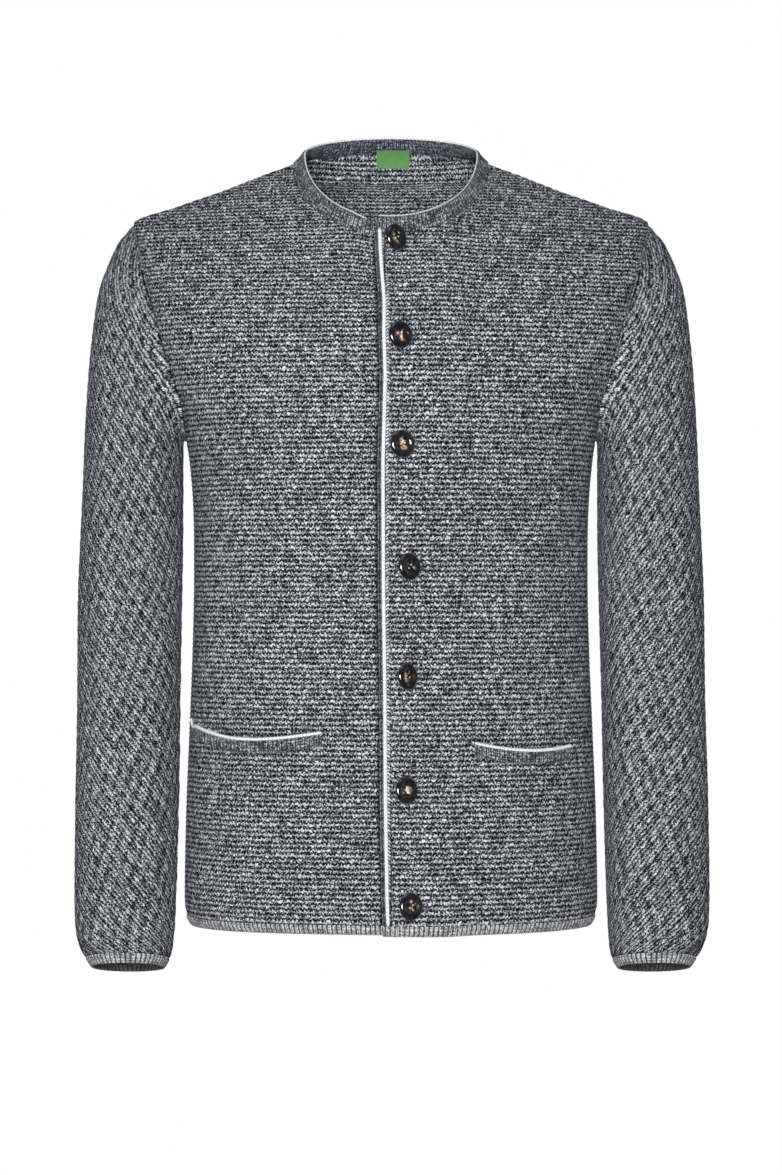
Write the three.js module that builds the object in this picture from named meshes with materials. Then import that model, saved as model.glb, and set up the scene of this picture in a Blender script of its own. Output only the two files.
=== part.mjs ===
// A knitted round-neck cardigan, buttoned and filled out as if worn, in millimetres.
// +Z is up, the front faces -Y and the wearer's left is +X.
// The origin is the middle of the neck at the height of the shoulder seams' inner ends.
import * as THREE from "three";

// Cloth
const wall = 3.0; // thickness of the body knit
const seamGap = 0.3; // space between two pieces at a seam
const lattice = 1.3; // height of the sleeves' cable lattice
const armholeGap = 0.55; // space between a sleeve and the panels, whose edges twist over the shoulder
const trimProud = 0.4; // how far the ribbed trims stand out past the panels

// Closing at the front
const freeEdgeX = -10.0; // edge of the left front, which laps over
const underEdgeX = 28.0; // edge of the right front, which lies beneath
const lapLift = wall + 0.7; // how far the left front is raised where the two lap
const lapFullX = 42.0; // the lift is whole up to here
const lapEndX = 80.0; // and gone from here on
const underDrop = 4.5; // how much lower the right front's neck corner sits
const underDropWidth = 40.0;

// Grids
const frontColumns = 10;
const backColumns = 16;
const armholeRows = 11; // rows of the panels beside an armhole, on each side
const sleeveRows = 50;

// Buttons
const buttonDiameter = 23.6;
const buttonThickness = 4.4;
const buttonSides = 14;
const buttonBack = 0.72; // width of its flat back, as a share of its own

// Label
const labelHalfWidth = 15.5;
const labelShift = 1.9; // towards the wearer's left
const labelHeight = 15.5;
const labelThickness = 0.8;

// The torso's rings, from the hem up. Below the arms a ring is level. Above them it dips in front and
// behind its side point, first round the armholes and then round the neck like a yoke.
// roundness is the exponent of its superellipse, roll the power by which it dips from the side point.
const torsoColumns = ["sideX", "frontY", "backY", "sideZ", "frontZ", "backZ", "roundness", "roll"];
const torsoRings = [
  [176.5, 112.5, 103.0, -672.5, -672.5, -672.5, 2.5, 2.0], // hem edge
  [181.0, 116.5, 107.0, -664.0, -664.0, -664.0, 2.5, 2.0], // hem seam
  [182.8, 118.5, 109.0, -644.0, -644.0, -644.0, 2.5, 2.0],
  [181.4, 119.0, 108.5, -570.0, -570.0, -570.0, 2.5, 2.0], // hip
  [178.6, 118.5, 105.0, -500.0, -500.0, -500.0, 2.5, 2.0], // pockets
  [175.8, 118.0, 100.0, -430.0, -430.0, -430.0, 2.5, 2.0],
  [174.4, 119.5, 99.0, -360.0, -360.0, -360.0, 2.5, 2.0], // waist
  [175.4, 122.5, 103.5, -300.0, -304.0, -304.0, 2.45, 2.0],
  [181.0, 125.5, 109.0, -246.0, -262.0, -261.0, 2.4, 2.0], // underarm
  [189.0, 126.0, 111.5, -217.0, -245.0, -241.0, 2.36, 2.0],
  [217.5, 124.5, 112.5, -149.0, -209.0, -197.0, 2.28, 1.9], // middle of the armhole
  [229.0, 121.0, 110.5, -81.0, -175.0, -150.0, 2.1, 1.6],
  [229.0, 116.0, 106.0, -52.7, -150.0, -117.0, 1.88, 1.4], // shoulder point
  [190.0, 109.5, 99.5, -36.5, -127.0, -79.0, 1.86, 1.35],
  [150.0, 102.0, 90.5, -22.6, -106.0, -44.0, 1.9, 1.3],
  [115.0, 94.0, 79.5, -9.0, -87.0, -11.0, 1.95, 1.2],
  [87.0, 86.0, 68.5, 2.0, -69.5, 19.0, 2.0, 1.0], // neck seam
  [78.0, 79.5, 62.5, 11.0, -55.5, 32.0, 2.0, 1.0], // top of the neckband
];
const hemEdge = 0;
const hemSeam = 1;
const underarm = 8;
const shoulderPoint = 12;
const neckSeam = 16;
const bandTop = 17;

// The armhole, seen from the side, is an oval between the underarm and the shoulder point.
const armholeFrontHalf = 59.0;
const armholeBackHalf = 57.0;

// The sleeve's rings, from the armhole down to the cuff's edge: its outermost and innermost points as
// seen from the front, the middle and half depth as seen from the side, and how far it leans.
// follow is how much of the armhole's own shape the ring still keeps.
const sleeveColumns = ["outerX", "outerZ", "innerX", "innerZ", "middleY", "halfDepth", "lean", "follow"];
const sleeveRings = [
  [229.0, -52.7, 181.0, -246.0, 0, 59.0, 0, 1],
  [240.5, -67.0, 182.8, -243.2, 0, 60.5, 0, 0.85],
  [249.5, -86.0, 184.6, -245.5, 0, 61.5, 0, 0.6],
  [258.7, -113.0, 185.2, -249.5, 0, 62.5, 0, 0.35],
  [264.5, -155.0, 185.3, -255.0, 0, 63.0, 0, 0.12],
  [268.0, -195.0, 185.3, -262.0, 0, 63.0, 0, 0],
  [270.8, -243.0, 185.3, -277.0, 1, 62.5, 0, 0],
  [272.6, -290.0, 185.3, -303.0, 2, 61.5, 0, 0],
  [275.0, -340.0, 185.5, -344.0, 3, 60.0, 0, 0],
  [277.0, -390.0, 186.5, -391.0, 3, 58.0, 0.02, 0],
  [277.9, -475.0, 188.5, -475.0, 0, 54.5, 0.08, 0],
  [279.2, -560.0, 189.3, -560.0, -10, 51.0, 0.14, 0],
  [278.6, -630.0, 190.0, -630.0, -24, 47.5, 0.19, 0],
  [277.0, -668.0, 190.8, -668.0, -33, 45.5, 0.21, 0],
  [273.5, -687.0, 192.0, -687.0, -38, 44.0, 0.21, 0],
  [267.5, -699.5, 194.5, -699.5, -41, 42.0, 0.21, 0], // cuff seam
  [261.5, -708.0, 199.5, -708.0, -43, 39.0, 0.21, 0], // cuff edge
];
const cuffSeam = 15;
const cuffEdge = 16;
const sleeveRoundness = 2.15;

// The seven buttons: where the middle of each is, how far it faces to the side and how far up, in degrees.
const buttonColumns = ["x", "z", "side", "up"];
const buttons = [
  [4.4, -74.1, 45, 9],
  [8.1, -159.7, 33, 7],
  [9.8, -252.8, 30, 4],
  [15.7, -357.1, 40, 5],
  [14.0, -450.7, 47, 4],
  [13.2, -547.7, 38, 5],
  [17.0, -646.4, 34, 5],
];

// The pocket slits: side of the body, the shares of the front's width between which each runs, height
// of its inner end, of its lowest point and of its outer end.
const pocketColumns = ["side", "innerShare", "outerShare", "innerZ", "lowZ", "outerZ"];
const pockets = [
  ["right", 0.2, 0.85, -500.5, -507.5, -498.5],
  ["left", 0.25, 0.65, -509.5, -516.5, -513.0],
];
const weltHeight = 9.0;
const weltThickness = 1.6;
const tippingWidth = 3.2;
const tippingHeight = 2.0;
const liedOn = 0.5; // space between a panel and what lies on it

// Colours
const finish = {
  bodyKnit: { color: 0x6f737a, roughness: 0.95 },
  sleeveKnit: { color: 0x6f747b, roughness: 0.95 },
  bandKnit: { color: 0x5d6066, roughness: 0.95 },
  lightTrim: { color: 0x959698, roughness: 0.95 },
  whiteCord: { color: 0xe3e6eb, roughness: 0.9 },
  horn: { color: 0x242021, roughness: 0.25 },
  greenLabel: { color: 0x5f9a48, roughness: 0.7 },
};

// Turns a row of values into an object with its column names.
function named(columns, values) {
  return Object.fromEntries(columns.map((name, i) => [name, values[i]]));
}

// Reads a table between its rows, with a smooth curve through every column.
function between(table, at) {
  const last = table.length - 1;
  const low = Math.min(Math.max(Math.floor(at), 0), last - 1);
  const t = at - low;
  const row = (i) => table[Math.min(Math.max(i, 0), last)];
  const [a, b, c, d] = [row(low - 1), row(low), row(low + 1), row(low + 2)];
  return b.map((value, i) => {
    const slopeIn = limitedSlope(a[i], value, c[i]);
    const slopeOut = limitedSlope(value, c[i], d[i]);
    const t2 = t * t;
    const t3 = t2 * t;
    return (2 * t3 - 3 * t2 + 1) * value + (t3 - 2 * t2 + t) * slopeIn
      + (3 * t2 - 2 * t3) * c[i] + (t3 - t2) * slopeOut;
  });
}

// A slope through three values that never overshoots them.
function limitedSlope(before, here, after) {
  const rise = here - before;
  const next = after - here;
  if (rise * next <= 0) return 0;
  const least = 3 * Math.min(Math.abs(rise), Math.abs(next));
  return Math.sign(next) * Math.min(Math.abs(rise + next) / 2, least);
}

function smoothstep(low, high, value) {
  const t = Math.min(Math.max((value - low) / (high - low), 0), 1);
  return t * t * (3 - 2 * t);
}

function mix(a, b, t) {
  return a + (b - a) * t;
}

function ringAt(v) {
  return named(torsoColumns, between(torsoRings, v));
}

// A point of the torso: turn is 0 at the front's middle, a quarter turn at the wearer's left side.
function torsoPoint(turn, v) {
  const ring = ringAt(v);
  const across = Math.sin(turn);
  const along = Math.cos(turn);
  const power = 2 / ring.roundness;
  const front = along >= 0;
  const depth = Math.abs(along) ** power;
  const dip = Math.abs(along) ** ring.roll;
  const x = ring.sideX * Math.sign(across) * Math.abs(across) ** power;
  const y = front ? -ring.frontY * depth : ring.backY * depth;
  const z = ring.sideZ + ((front ? ring.frontZ : ring.backZ) - ring.sideZ) * dip;
  return new THREE.Vector3(x, y, z);
}

// The outward direction there. Beside a seam it is the seam's own, so that both walls end alike.
function torsoNormal(nearTurn, v) {
  const step = 0.004;
  const quarter = Math.PI / 2;
  const seamTurn = Math.round(nearTurn / quarter) * quarter;
  const turn = Math.abs(nearTurn - seamTurn) < 0.01 ? seamTurn : nearTurn;
  const up = Math.min(v + step, bandTop);
  const down = Math.max(v - step, hemEdge);
  const around = torsoPoint(turn + step, v).sub(torsoPoint(turn - step, v));
  const rise = torsoPoint(turn, up).sub(torsoPoint(turn, down));
  return around.cross(rise).normalize();
}

// The turn at which a ring reaches a given distance from the middle line, in front.
function turnAtX(x, v) {
  const ring = ringAt(v);
  return Math.sign(x) * Math.asin((Math.abs(x) / ring.sideX) ** (ring.roundness / 2));
}

// The turn at which a panel ends at its side: the side seam, the armhole's edge or the shoulder seam.
function sideTurn(v, depthName) {
  const ring = ringAt(v);
  const low = torsoRings[underarm][3];
  const high = torsoRings[shoulderPoint][3];
  const level = (2 * (ring.sideZ - low)) / (high - low) - 1;
  const half = depthName === "frontY" ? armholeFrontHalf : armholeBackHalf;
  const inArmhole = v > underarm && v < shoulderPoint;
  const opening = inArmhole ? half * Math.sqrt(Math.max(1 - level * level, 0)) : 0;
  const depth = Math.max(opening, seamGap / 2);
  return Math.acos((depth / ring[depthName]) ** (ring.roundness / 2));
}

// The lift of the left front where it laps over the right one.
function lapLiftAt(x) {
  return lapLift * (1 - smoothstep(lapFullX, lapEndX, x));
}

// How far the right front's neck corner sinks under the left one.
function underDropAt(x, v) {
  const near = smoothstep(-underDropWidth, -5, x);
  return underDrop * near * smoothstep(shoulderPoint, neckSeam, v);
}

// One outer point of a part of the body, with its normal.
function bodyPoint(part, turn, v) {
  const point = torsoPoint(turn, v);
  const normal = torsoNormal(turn, v);
  if (part === "left") point.addScaledVector(normal, lapLiftAt(point.x));
  if (part === "right") point.z -= underDropAt(point.x, v);
  return { point, normal };
}

// The turns between which a part of the body runs at one height.
function partSpan(part, v) {
  if (part === "left") return [turnAtX(freeEdgeX, v), sideTurn(v, "frontY")];
  if (part === "right") return [-sideTurn(v, "frontY"), turnAtX(underEdgeX, v)];
  const side = sideTurn(v, "backY");
  return [Math.PI - side, Math.PI + side];
}

function partColumns(part) {
  return part === "back" ? backColumns : frontColumns;
}

// A grid of outer and inner points over a part of the body, one row for each height.
function bodyGrid(part, rows, proud = 0) {
  const columns = partColumns(part);
  return rows.map((v) => {
    const [start, end] = partSpan(part, v);
    return Array.from({ length: columns + 1 }, (_, c) => {
      const { point, normal } = bodyPoint(part, mix(start, end, c / columns), v);
      const outer = point.clone().addScaledVector(normal, proud);
      const inner = point.clone().addScaledVector(normal, -wall);
      return { outer, inner, normal };
    });
  });
}

// Collects points and triangles of one closed body.
class Body {
  constructor() {
    this.places = [];
    this.faces = [];
  }

  add(point) {
    this.places.push(point.x, point.y, point.z);
    return this.places.length / 3 - 1;
  }

  // A quad whose corners go round anticlockwise as seen from outside, cut along its first diagonal.
  quad(a, b, c, d) {
    this.faces.push(a, b, c, a, c, d);
  }

  geometry() {
    const geometry = new THREE.BufferGeometry();
    geometry.setAttribute("position", new THREE.Float32BufferAttribute(this.places, 3));
    geometry.setIndex(this.faces);
    geometry.computeVertexNormals();
    return geometry;
  }
}

// Closes a grid of outer and inner points into a wall. Columns go round anticlockwise, rows go up.
function wallBody(grid, closed = false) {
  const body = new Body();
  const outer = grid.map((row) => row.map((cell) => body.add(cell.outer)));
  const inner = grid.map((row) => row.map((cell) => body.add(cell.inner)));
  const rows = grid.length;
  const columns = grid[0].length;
  const cells = closed ? columns : columns - 1;
  for (let r = 0; r < rows - 1; r += 1) {
    for (let c = 0; c < cells; c += 1) {
      const next = (c + 1) % columns;
      body.quad(outer[r][c], outer[r][next], outer[r + 1][next], outer[r + 1][c]);
      body.quad(inner[r][c], inner[r + 1][c], inner[r + 1][next], inner[r][next]);
    }
  }
  for (let c = 0; c < cells; c += 1) {
    const next = (c + 1) % columns;
    body.quad(inner[0][c], inner[0][next], outer[0][next], outer[0][c]);
    body.quad(inner[rows - 1][c], outer[rows - 1][c], outer[rows - 1][next], inner[rows - 1][next]);
  }
  if (!closed) {
    const end = columns - 1;
    for (let r = 0; r < rows - 1; r += 1) {
      body.quad(inner[r][0], outer[r][0], outer[r + 1][0], inner[r + 1][0]);
      body.quad(inner[r][end], inner[r + 1][end], outer[r + 1][end], outer[r][end]);
    }
  }
  return body.geometry();
}

// Carries a closed section along a row of places. The section's points go round anticlockwise as seen
// from ahead of the path.
function cordBody(sections) {
  const body = new Body();
  const rings = sections.map((section) => section.map((point) => body.add(point)));
  const sides = sections[0].length;
  for (let i = 0; i < rings.length - 1; i += 1) {
    for (let s = 0; s < sides; s += 1) {
      const next = (s + 1) % sides;
      body.quad(rings[i][s], rings[i][next], rings[i + 1][next], rings[i + 1][s]);
    }
  }
  const first = rings[0];
  const last = rings[rings.length - 1];
  for (let s = 1; s < sides - 1; s += 1) {
    body.faces.push(first[0], first[s + 1], first[s]);
    body.faces.push(last[0], last[s], last[s + 1]);
  }
  return body.geometry();
}

function meshOf(name, geometry, look) {
  const material = new THREE.MeshStandardMaterial({ metalness: 0, ...look });
  const mesh = new THREE.Mesh(geometry, material);
  mesh.name = name;
  return mesh;
}

// Evenly spaced values from one number to another, both included.
function steps(from, to, count) {
  return Array.from({ length: count + 1 }, (_, i) => mix(from, to, i / count));
}

const seamStep = 0.013; // half a seam's gap, in rows, at the neck and the hem
const underarmRow = 9;
const yokeRows = 5;
const panelRows = [
  ...steps(hemSeam + seamStep, underarm, underarmRow),
  ...steps(underarm, shoulderPoint, armholeRows).slice(1),
  ...steps(shoulderPoint, neckSeam - seamStep, yokeRows).slice(1),
];
const bandRows = steps(neckSeam + seamStep, bandTop, 2);
const hemRows = [hemEdge, hemSeam - seamStep];

const panels = {
  right: bodyGrid("right", panelRows),
  left: bodyGrid("left", panelRows),
  back: bodyGrid("back", panelRows),
};

// The neckband runs from the right front's hidden edge, behind the neck, to the left front's edge.
function neckbandGrid() {
  return bandRows.map((v) => {
    const cells = ["left", "back", "right"].flatMap((part) => bodyGrid(part, [v], trimProud)[0]);
    const doubled = [frontColumns + 1, frontColumns + 1 + backColumns + 1];
    return cells.filter((_, i) => !doubled.includes(i));
  });
}

// A white cord along the top edge of the neckband.
const neckTippingHalf = 1.5;
const neckTippingHeight = 2.1;
const neckTippingEndX = -20.0; // it stops here on the right front, before that front goes beneath
function neckTipping(grid) {
  const top = grid[grid.length - 1];
  const below = grid[grid.length - 2];
  const count = top.findIndex((cell, i) => i > top.length / 2 && cell.outer.x > neckTippingEndX);
  const sections = top.slice(0, count).map((cell, i) => {
    const up = cell.outer.clone().sub(below[i].outer).normalize();
    const middle = cell.outer.clone().lerp(cell.inner, 0.5).addScaledVector(up, seamGap);
    const corner = (side, height) => middle.clone()
      .addScaledVector(cell.normal, side * neckTippingHalf)
      .addScaledVector(up, height * neckTippingHeight);
    return [corner(-1, 0), corner(-1, 0.6), corner(-0.4, 1), corner(0.4, 1), corner(1, 0.6), corner(1, 0)];
  });
  return cordBody(sections);
}

// A strip that stands on the left front beside its free edge, from the hem to the neck. crown is the
// share of its width over which each side slopes up to its flat top.
const edging = { lowX: -9.9, highX: -7.4, crown: 0.2, height: 1.4 };
const piping = { lowX: -7.0, highX: -3.6, crown: 0.25, height: 1.9 };
function edgeStrip({ lowX, highX, crown, height }) {
  const sections = panels.left.map((row) => {
    const [a, b] = row;
    const place = (x, rise) => {
      const t = (x - a.outer.x) / (b.outer.x - a.outer.x);
      return a.outer.clone().lerp(b.outer, t).addScaledVector(a.normal, liedOn + rise);
    };
    const inset = crown * (highX - lowX);
    return [place(lowX, 0), place(lowX, height * 0.6), place(lowX + inset, height),
      place(highX - inset, height), place(highX, height * 0.6), place(highX, 0)];
  });
  return cordBody(sections);
}

// A point on a panel's outer side below the arms, by column and height, moved out.
function onPanel(grid, column, z, out) {
  const low = Math.min(Math.floor(column), grid[0].length - 2);
  const t = column - low;
  const row = grid.findIndex((cells, i) => grid[i + 1][0].outer.z >= z);
  const level = (z - grid[row][0].outer.z) / (grid[row + 1][0].outer.z - grid[row][0].outer.z);
  const side = (c) => grid[row][c].outer.clone().lerp(grid[row + 1][c].outer, level);
  const point = side(low).lerp(side(low + 1), t);
  const normal = grid[row][low].normal.clone().lerp(grid[row][low + 1].normal, t).normalize();
  return point.addScaledVector(normal, out);
}

// A band that lies on a front along a pocket slit, between two distances above the slit's line.
function pocketBand(pocket, below, above, thickness) {
  const grid = panels[pocket.side];
  const count = Math.round((pocket.outerShare - pocket.innerShare) * frontColumns * 2);
  const sections = steps(0, 1, count).map((t) => {
    const column = mix(pocket.innerShare, pocket.outerShare, t) * frontColumns;
    const gridColumn = pocket.side === "left" ? column : frontColumns - column;
    const sag = 4 * t * (1 - t);
    const line = mix(pocket.innerZ, pocket.outerZ, t);
    const z = line + (pocket.lowZ - (pocket.innerZ + pocket.outerZ) / 2) * sag;
    const place = (height, out) => onPanel(grid, gridColumn, z + height, liedOn + out);
    const shrink = 0.25 * (above - below);
    return [place(below, 0), place(below, thickness * 0.7), place(below + shrink, thickness),
      place(above - shrink, thickness), place(above, thickness * 0.7), place(above, 0)];
  });
  if (pocket.side === "left") sections.reverse();
  return cordBody(sections);
}

// The armhole's edge as a loop of the panels' own points: up the front, over and down the back.
function armholeLoop(side) {
  const front = panels[side].slice(underarmRow, underarmRow + armholeRows + 1);
  const back = panels.back.slice(underarmRow, underarmRow + armholeRows + 1);
  const frontCell = (row) => (side === "left" ? row[row.length - 1] : row[0]);
  const backCell = (row) => (side === "left" ? row[0] : row[row.length - 1]);
  const cells = [...front.map(frontCell), ...back.map(backCell).reverse().slice(1, -1)];
  const flat = [0, armholeRows];
  return cells.map((cell, i) => {
    const outer = cell.outer.clone();
    const inner = cell.inner.clone();
    if (flat.includes(i)) {
      outer.y = 0;
      inner.y = 0;
    }
    return { outer, inner, normal: cell.normal };
  });
}

// The same loop, moved by the seam's gap into the opening.
function sleeveStart(side) {
  const loop = armholeLoop(side);
  const count = loop.length;
  const middle = new THREE.Vector3();
  loop.forEach((cell) => middle.addScaledVector(cell.outer, 1 / count));
  const moved = (which, i) => {
    const along = loop[(i + 1) % count][which].clone().sub(loop[(i + count - 1) % count][which]);
    const away = along.cross(loop[i].normal).normalize();
    if (away.dot(middle.clone().sub(loop[i][which])) < 0) away.negate();
    return loop[i][which].clone().addScaledVector(away, armholeGap);
  };
  return loop.map((_, i) => ({ outer: moved("outer", i), inner: moved("inner", i) }));
}

const sleeveSides = armholeRows * 4; // two columns for each step of the armhole's loop

// A point of the plain sleeve on the wearer's left: angle 0 at the underarm, a half turn at the top.
function sleevePoint(angle, s) {
  const ring = named(sleeveColumns, between(sleeveRings, s));
  const power = 2 / sleeveRoundness;
  const around = Math.cos(angle);
  const forward = Math.sin(angle);
  const outward = (1 - Math.sign(around) * Math.abs(around) ** power) / 2;
  const y = ring.middleY - ring.halfDepth * Math.sign(forward) * Math.abs(forward) ** power;
  const x = mix(ring.innerX, ring.outerX, outward);
  const z = mix(ring.innerZ, ring.outerZ, outward) - ring.lean * (y - ring.middleY);
  return new THREE.Vector3(x, y, z);
}

// Places along the sleeve that are evenly spaced on its outer line.
function sleevePlaces() {
  const fine = steps(0, cuffSeam - seamStep, 600);
  const lengths = [0];
  for (let i = 1; i < fine.length; i += 1) {
    const step = sleevePoint(Math.PI, fine[i]).distanceTo(sleevePoint(Math.PI, fine[i - 1]));
    lengths.push(lengths[i - 1] + step);
  }
  const total = lengths[lengths.length - 1];
  return steps(0, total, sleeveRows).map((length) => {
    const at = Math.max(lengths.findIndex((value) => value >= length - 1e-9), 1);
    const t = (length - lengths[at - 1]) / (lengths[at] - lengths[at - 1]);
    return mix(fine[at - 1], fine[at], t);
  });
}

// The sleeve's smooth outer points on one side, which start on the armhole's loop.
function sleeveRingsOf(side, places) {
  const mirror = side === "left" ? 1 : -1;
  const start = sleeveStart(side);
  const startOuter = steps(0, sleeveSides, sleeveSides).slice(0, -1).map((c) => {
    const low = Math.floor(c / 2);
    const here = start[low % start.length].outer;
    return c % 2 ? here.clone().lerp(start[(low + 1) % start.length].outer, 0.5) : here.clone();
  });
  const own = (angle, s) => {
    const point = sleevePoint(angle, s);
    point.x *= mirror;
    return point;
  };
  const angleOf = (c) => (2 * Math.PI * c) / sleeveSides;
  const shift = startOuter.map((point, c) => point.clone().sub(own(angleOf(c), 0)));
  const rings = places.map((s) => {
    const { follow } = named(sleeveColumns, between(sleeveRings, s));
    return shift.map((offset, c) => own(angleOf(c), s).addScaledVector(offset, follow));
  });
  rings[0] = startOuter;
  return { rings, startInner: start.map((cell) => cell.inner) };
}

// Outward normals of a tube's points, from their neighbours.
function tubeNormals(rings, mirror) {
  const count = rings[0].length;
  return rings.map((ring, r) => ring.map((point, c) => {
    const around = ring[(c + 1) % count].clone().sub(ring[(c + count - 1) % count]);
    const above = rings[Math.max(r - 1, 0)][c];
    const below = rings[Math.min(r + 1, rings.length - 1)][c];
    const along = below.clone().sub(above);
    return around.cross(along).multiplyScalar(-mirror).normalize();
  }));
}

// Outward directions of a tube's points within their own rings.
function ringNormals(ring) {
  const count = ring.length;
  const middle = new THREE.Vector3();
  ring.forEach((point) => middle.addScaledVector(point, 1 / count));
  const axis = ring[0].clone().sub(middle).cross(ring[Math.round(count / 4)].clone().sub(middle)).normalize();
  return ring.map((point, c) => {
    const along = ring[(c + 1) % count].clone().sub(ring[(c + count - 1) % count]);
    const out = along.cross(axis).normalize();
    return out.dot(point.clone().sub(middle)) < 0 ? out.negate() : out;
  });
}

const latticeStart = 2; // rows over which the lattice rises from the armhole seam
const plainRows = [0, 1, 2, 3, 4, 6, 8, 10, 13, 17, 22, 28, 36, 43, 47]; // rows of the plain inside
const fullStep = 9.0; // spacing of two rows at which the lattice has its full height
function sleeveBody(side) {
  const mirror = side === "left" ? 1 : -1;
  const places = sleevePlaces();
  const { rings, startInner } = sleeveRingsOf(side, places);
  const normals = tubeNormals(rings, mirror);
  const body = new Body();
  const last = rings.length - 1;
  const outer = rings.map((ring, r) => ring.map((point, c) => {
    const spacing = point.distanceTo(rings[Math.min(r + 1, last)][c]);
    const open = Math.min(spacing / fullStep, 1) ** 2 * smoothstep(0, latticeStart, r);
    const high = (r + c) % 2 === 0 && r < last;
    return body.add(point.clone().addScaledVector(normals[r][c], high ? lattice * open : 0));
  }));
  const innerRows = [...plainRows, last];
  const inner = innerRows.map((r) => {
    const flat = ringNormals(rings[r]);
    const half = rings[r].filter((_, c) => c % 2 === 0);
    return half.map((point, i) => {
      if (r === 0) return body.add(startInner[i]);
      const c = i * 2;
      const high = (1 - Math.cos((2 * Math.PI * c) / sleeveSides)) / 2;
      const inward = flat[c].clone().lerp(normals[r][c], smoothstep(0.1, 0.45, high)).normalize();
      return body.add(point.clone().addScaledVector(inward, -wall));
    });
  });
  const face = (a, b, c) => (mirror > 0 ? body.faces.push(a, b, c) : body.faces.push(a, c, b));
  for (let r = 0; r < last; r += 1) {
    for (let c = 0; c < sleeveSides; c += 1) {
      const next = (c + 1) % sleeveSides;
      const [a, b, d, e] = [outer[r][c], outer[r][next], outer[r + 1][next], outer[r + 1][c]];
      if ((r + c) % 2 === 0) {
        face(a, d, b);
        face(a, e, d);
      } else {
        face(a, e, b);
        face(b, e, d);
      }
    }
  }
  const halfSides = sleeveSides / 2;
  for (let r = 0; r < inner.length - 1; r += 1) {
    for (let c = 0; c < halfSides; c += 1) {
      const next = (c + 1) % halfSides;
      face(inner[r][c], inner[r][next], inner[r + 1][next]);
      face(inner[r][c], inner[r + 1][next], inner[r + 1][c]);
    }
  }
  const lastInner = inner[inner.length - 1];
  for (let i = 0; i < halfSides; i += 1) {
    const next = (i + 1) % halfSides;
    const [a, b, c] = [outer[0][2 * i], outer[0][2 * i + 1], outer[0][(2 * i + 2) % sleeveSides]];
    face(a, b, inner[0][i]);
    face(b, inner[0][next], inner[0][i]);
    face(b, c, inner[0][next]);
    const [d, e, f] = [outer[last][2 * i], outer[last][2 * i + 1], outer[last][(2 * i + 2) % sleeveSides]];
    face(d, lastInner[i], e);
    face(e, lastInner[i], lastInner[next]);
    face(e, lastInner[next], f);
  }
  return body.geometry();
}

// The light ribbed edge of a cuff.
const cuffSides = 24;
function cuffBody(side) {
  const mirror = side === "left" ? 1 : -1;
  const rings = [cuffEdge, cuffSeam + seamStep * 2].map((s) => {
    return Array.from({ length: cuffSides }, (_, c) => {
      const point = sleevePoint((mirror * 2 * Math.PI * c) / cuffSides, s);
      point.x *= mirror;
      return point;
    });
  });
  const grid = rings.map((ring) => {
    const out = ringNormals(ring);
    return ring.map((point, c) => ({
      outer: point.clone().addScaledVector(out[c], trimProud),
      inner: point.clone().addScaledVector(out[c], -wall),
    }));
  });
  return wallBody(grid, true);
}

// A dished button with a thick rounded rim.
function buttonGeometry() {
  const radius = buttonDiameter / 2;
  const profile = [
    [0, 0],
    [radius * buttonBack, 0],
    [radius, buttonThickness * 0.5],
    [radius * 0.93, buttonThickness * 0.9],
    [radius * 0.8, buttonThickness],
    [radius * 0.6, buttonThickness * 0.72],
    [0, buttonThickness * 0.6],
  ];
  const geometry = new THREE.LatheGeometry(profile.map(([r, h]) => new THREE.Vector2(r, h)), buttonSides);
  geometry.rotateX(Math.PI / 2);
  return geometry;
}

const buttonClearance = 0.45;
const buttonSteps = 5;

// The left front's outside at a height and a distance from the middle, with its outward direction.
function onLeftFront(x, z) {
  const low = panels.left.findIndex((_, i) => panels.left[i + 1][0].outer.z >= z);
  const [below, above] = [panels.left[low], panels.left[low + 1]];
  const level = (z - below[0].outer.z) / (above[0].outer.z - below[0].outer.z);
  const outline = below.map((cell, c) => cell.outer.clone().lerp(above[c].outer, level));
  const column = outline.findIndex((_, c) => outline[c + 1].x >= x);
  const share = (x - outline[column].x) / (outline[column + 1].x - outline[column].x);
  const point = outline[column].clone().lerp(outline[column + 1], share);
  const directions = [below, above].map((cells) => {
    return cells[column].normal.clone().lerp(cells[column + 1].normal, share);
  });
  return { point, normal: directions[0].lerp(directions[1], level).normalize() };
}

// A button stands on the rim or the edge of its flat back, whichever reaches the cloth first. The cloth's
// point beneath is found by steps, so that the button's middle comes to its place.
function placedButton(row, number) {
  const button = named(buttonColumns, row);
  const side = THREE.MathUtils.degToRad(button.side);
  const up = THREE.MathUtils.degToRad(button.up);
  const level = Math.cos(up);
  const facing = new THREE.Vector3(Math.sin(side) * level, -Math.cos(side) * level, Math.sin(up));
  const mesh = meshOf(`button_${number}`, buttonGeometry(), finish.horn);
  mesh.quaternion.setFromUnitVectors(new THREE.Vector3(0, 0, 1), facing);
  let [x, z] = [button.x, button.z];
  for (let step = 0; step < buttonSteps; step += 1) {
    const { point, normal } = onLeftFront(x, z);
    const slant = facing.angleTo(normal);
    const flatReach = (buttonDiameter / 2) * buttonBack * Math.sin(slant);
    const rimReach = (buttonDiameter / 2) * Math.sin(slant) - (buttonThickness / 2) * Math.cos(slant);
    mesh.position.copy(point).addScaledVector(normal, Math.max(flatReach, rimReach) + buttonClearance);
    const middle = mesh.position.clone().addScaledVector(facing, buttonThickness / 2);
    x += button.x - middle.x;
    z += button.z - middle.z;
  }
  return mesh;
}

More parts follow.
